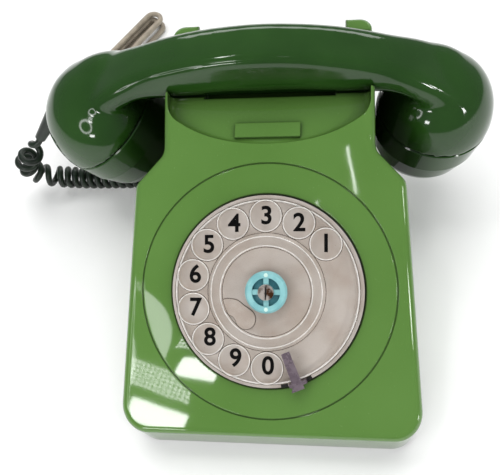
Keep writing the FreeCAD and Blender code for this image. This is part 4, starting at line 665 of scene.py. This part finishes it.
def makeDigits(s):
    pieces = []
    for (x, y), numeral in zip(holePlaces(holeSet), "1234567890"):
        clearPick()
        bpy.ops.object.text_add()
        text = bpy.context.object
        text.data.body = numeral
        text.data.align_x, text.data.align_y = "CENTER", "CENTER"
        text.data.size = s["tall"] * mm / s["fontShare"]
        text.data.offset = s["heavier"] * mm
        text.data.extrude = s["half"] * mm
        text.data.bevel_depth = s["edge"] * mm
        text.data.bevel_resolution = 0
        bpy.ops.object.convert(target="MESH")
        pieces.append(settle(bpy.context.object, onDial(x, y, s["level"])))
    digits = joinAs("dialDigits", pieces)
    # screen ink: near black and matt
    wear(digits, mottled("screenInkBlack", "#060606", "#0d0c0c", 1.5, (0.55, 0.7), spec=0.1))
    fit(digits, "desk_set", "ivory_plastic")


hubSet = {
    "floor": {"radius": 7.2, "thick": 0.6, "level": 4.5, "edge": 0.15},
    "pips": {"radius": 0.95, "flat": 0.35, "at": 7.9, "level": 6.6},
}


def makeHubFloor(s):
    clearPick()
    bpy.ops.mesh.primitive_cylinder_add(vertices=64, radius=s["radius"] * mm, depth=s["thick"] * mm)
    disc = bpy.context.object
    disc.name = "hubFloor"
    softenEdges(disc, s["edge"])
    settle(disc, onDial(0, 0, s["level"]))
    smoothBy(disc, creaseAngle)
    # dyed nylon in shade: deep teal
    wear(disc, mottled("mouldedNylonDeepTeal", "#2a5d66", "#35717a", 3, (0.35, 0.5)))
    fit(disc, "dial_rotor", "hub_plastic")


def makeHubPips(s):
    pair = []
    for side in (-1, 1):
        clearPick()
        bpy.ops.mesh.primitive_uv_sphere_add(segments=24, ring_count=12, radius=s["radius"] * mm)
        pair.append(settle(stretch((1, 1, s["flat"])), onDial(0, side * s["at"], s["level"])))
    pips = joinAs("hubPips", pair)
    bpy.ops.object.shade_smooth()
    # heat staked nylon: pale, worn tops
    wear(pips, mottled("stakedNylonPale", "#b9d8cf", "#cfe4da", 1, (0.35, 0.5)))
    fit(pips, "dial_rotor", "hub_plastic")


tongueSet = {
    "outline": [
        (-21.6, -3.6), (-14.2, -4.0), (-11.0, -7.0), (-8.8, -8.2), (-5.6, -11.0), (-6.0, -16.2),
        (-10.2, -18.3), (-14.2, -16.2), (-15.2, -12.2), (-18.8, -10.8), (-20.8, -7.6),
    ],
    "plate": {"half": 0.22, "level": 0.7, "grow": 0.12},
    # a line of grime and painted shade round the tongue
    "grimeAndShade": {"half": 0.02, "level": 0.3, "grow": 0.45},
    "curveSteps": 8,
}


def tonguePlate(name, half, level, grow):
    curve = bpy.data.curves.new(name, "CURVE")
    curve.dimensions = "2D"
    curve.fill_mode = "BOTH"
    curve.resolution_u = tongueSet["curveSteps"]
    curve.extrude = half * mm
    curve.bevel_depth = grow * mm
    spline = curve.splines.new("NURBS")
    spline.points.add(len(tongueSet["outline"]) - 1)
    for point, (x, y) in zip(spline.points, tongueSet["outline"]):
        point.co = (x * mm, y * mm, 0, 1)
    spline.order_u = 3
    spline.use_cyclic_u = True
    flat = bpy.data.objects.new(name, curve)
    scene.collection.objects.link(flat)
    pick(flat)
    bpy.ops.object.convert(target="MESH")
    plate = settle(bpy.context.object, onDial(0, 0, level))
    return smoothBy(plate, creaseAngle)


def makeTongue(s):
    tongue = tonguePlate("shuntTongue", **s["plate"])
    # pressed fibre, enamelled: pale stone, close to the plate's own shade
    wear(tongue, mottled("enamelStone", "#a4988e", "#b0a69e", 6, (0.35, 0.5)))
    fit(tongue, "desk_set", "ivory_plastic")
    # grime and painted shade in a thin dark line round the tongue
    line = tonguePlate("tongueGrimeAndShade", **s["grimeAndShade"])
    wear(line, grimeAndShadeMaterial)
    fit(line, "desk_set", "ivory_plastic")


makeWheelEdgeHighlights(edgeSet)
makeWheelGrimeAndShade(edgeSet["grimeAndShade"])
makeSlots(slotSet)
makeDigits(digitSet)
makeHubFloor(hubSet["floor"])
makeHubPips(hubSet["pips"])
makeTongue(tongueSet)
print("dial face is dressed")


# cords
flexRound = 3  # the curve bevel's resolution for a flex's round section


def routeCurve(name, points, steps):
    curve = bpy.data.curves.new(name, "CURVE")
    curve.dimensions = "3D"
    curve.resolution_u = steps
    spline = curve.splines.new("NURBS")
    spline.points.add(len(points) - 1)
    for point, spot in zip(spline.points, points):
        point.co = (*spot, 1)
    spline.order_u = 3
    spline.use_endpoint_u = True
    obj = bpy.data.objects.new(name, curve)
    scene.collection.objects.link(obj)
    bpy.context.view_layer.update()
    return obj


def readPoints(obj):
    mesh = bpy.data.meshes.new_from_object(obj)
    points = [v.co.copy() for v in mesh.vertices]
    bpy.data.meshes.remove(mesh)
    return points


def flexAlong(name, points, steps, wire):
    cord = routeCurve(name, points, steps)
    path = readPoints(cord)
    length = sum((b - a).length for a, b in zip(path, path[1:]))
    print(name, round(length, 4), "m")
    cord.data.bevel_depth = wire * mm / 2
    cord.data.bevel_resolution = flexRound
    cord.data.use_fill_caps = True
    return cord, path, length


curlySet = {
    "route": [
        (-136.13, 157.63, 53.6), (-146.21, 153.95, 41.74), (-158, 157, 27),
        (-150, 159, 8.5), (-76.83, 159, 7.5), (-62.83, 159, 10.5),
    ],
    "routeSteps": 40,
    "wire": 3.8,
    "reach": 5.1,
    "openCurls": 5,
    "tightCurls": 13,
    "lead": 16,  # the curls grow and shrink over this length
    "perTurn": 16,
    "curlSteps": 3,
    "hangsTo": -141,  # where the hanging part ends, along x on the desk
    "stillBelow": 14,  # a height on the cord, in mm
    "followsFrom": 2,  # a depth below the relief, in mm
}


def curlMarks(s, hangEnd, total):
    # equal shares of each turn: one turn in each lead, open turns while the cord hangs, then tight ones
    lead = s["lead"] * mm
    spans = [
        (0, lead, 1), (lead, hangEnd, s["openCurls"]),
        (hangEnd, total - lead, s["tightCurls"]), (total - lead, total, 1),
    ]
    marks = []
    for begin, end, turns in spans:
        count = turns * s["perTurn"]
        marks += [begin + (end - begin) * i / count for i in range(count)]
    return marks + [total]


def curlPoints(s):
    guide = routeCurve("curlyGuide", [fromDesk(*p) for p in s["route"]], s["routeSteps"])
    spine = readPoints(guide)
    bpy.data.objects.remove(guide)
    along = [0.0]
    for a, b in zip(spine, spine[1:]):
        along.append(along[-1] + (b - a).length)
    total = along[-1]
    leftmost = min(range(len(spine)), key=lambda i: spine[i].x)
    hangLimit = (s["hangsTo"] + deskShift.x) * mm
    hangEnd = next(along[i] for i in range(leftmost, len(spine)) if spine[i].x > hangLimit)
    lead = s["lead"] * mm
    points = []
    j = 0
    for i, mark in enumerate(curlMarks(s, hangEnd, total)):
        while j < len(spine) - 2 and along[j + 1] < mark:
            j += 1
        share = (mark - along[j]) / (along[j + 1] - along[j])
        middle = spine[j].lerp(spine[j + 1], share)
        ahead = spine[min(j + 2, len(spine) - 1)] - spine[max(j - 1, 0)]
        forward = ahead.normalized()
        side = forward.cross(Vector((0, 1, 0))).normalized()
        third = forward.cross(side)
        grow = min(mark, total - mark, lead) / lead
        reach = s["reach"] * mm * grow * grow * (3 - 2 * grow)  # the curls widen smoothly along each lead
        phase = i * 2 * math.pi / s["perTurn"]
        points.append(middle + (side * math.cos(phase) + third * math.sin(phase)) * reach)
    return points


def makeCurlyCord(s):
    cord, path, length = flexAlong("curlyCord", curlPoints(s), s["curlSteps"], s["wire"])
    pick(cord)
    bpy.ops.object.convert(target="MESH")
    cord = bpy.context.object
    bpy.ops.object.shade_smooth()
    wear(cord, materials["curly_cord"])
    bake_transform(cord)
    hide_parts("handset_cord")


lineSet = {
    "route": [
        (20, 205.7, 11), (20, 228, 5), (0, 238, 2), (-46, 212, 2), (-92, 208, 2),
        (-138.98, 182.64, 2), (-151.98, 197.64, 2),
    ],
    "wire": 3.6,
    "curveSteps": 10,
}
hankSet = {
    "at": (-121.7, 256.2),
    "turn": 57,
    "level": 2.0,
    "run": 42,
    "leadIn": 3.6,
    "straight": 0.35,  # inner points of a straight run, as a share of it
    "step": 4.1,  # from one strand to the next
    "inner": 2.4,
    "foldEase": 0.414,  # from a fold back to its last straight point, as a share of its half width
    "foldStep": 45,
    "turns": 1,
    "layers": 2,
    "plugRun": 0.2,
    "plugStart": -32,
    "plugBend": 13,
    "plugEase": 8,
    "plugLead": 6,
    "plugAside": 4.4,
    "plugLift": 4.4,
}


def hankPoints(s):
    run, step = s["run"], s["step"]
    offset = s["inner"] + s["turns"] * step
    level, heading = s["level"], 1
    hank = [Vector((-run - s["leadIn"], -offset, level))]
    corner = 1 / math.cos(math.radians(s["foldStep"] / 2))
    halves = 2 * s["turns"]
    for count in range(s["layers"] * halves + 1):
        layer, half = divmod(count, halves)
        change = -step / 2 if layer % 2 == 0 else step / 2
        side = -1 if heading > 0 else 1
        lift = step if layer > 0 and half == 0 else 0
        near = run - s["foldEase"] * offset
        inner = s["straight"] * run
        for x, raised in ((-near, 0), (-inner, 0), (inner, lift), (near, lift)):
            hank.append(Vector((heading * x, side * offset, level + raised)))
        level += lift
        following = offset + change
        reach = (offset + following) / 2
        middle = side * (offset - following) / 2
        for share in (-1.5, -0.5, 0.5, 1.5):
            angle = math.radians(share * s["foldStep"])
            x = heading * (run + reach * corner * math.cos(angle))
            y = middle - side * reach * corner * math.sin(angle)
            hank.append(Vector((x, y, level)))
        offset = following
        heading = -heading
    leave = s["plugStart"] + s["plugBend"]
    for x in (run - s["foldEase"] * offset, s["plugRun"] * run, leave + s["plugEase"], leave):
        hank.append(Vector((x, offset, level)))
    for x in (s["plugStart"] + s["plugLead"], s["plugStart"]):
        hank.append(Vector((x, offset - s["plugAside"], level + s["plugLift"])))
    turned = Matrix.Rotation(math.radians(s["turn"]), 4, "Z")
    return [turned @ p + Vector((*s["at"], 0)) for p in hank]


def makeLineCord(s):
    points = [Vector(p) for p in s["route"]] + hankPoints(hankSet)
    placed = [fromDesk(*p) for p in points]
    cord, _, length = flexAlong("lineCord", placed, s["curveSteps"], s["wire"])
    wear(cord, materials["line_flex"])
    fit(cord, "desk_set", "line_flex", "line_cord", "line_cord_hank")


makeCurlyCord(curlySet)
makeLineCord(lineSet)
print("cords are laid")
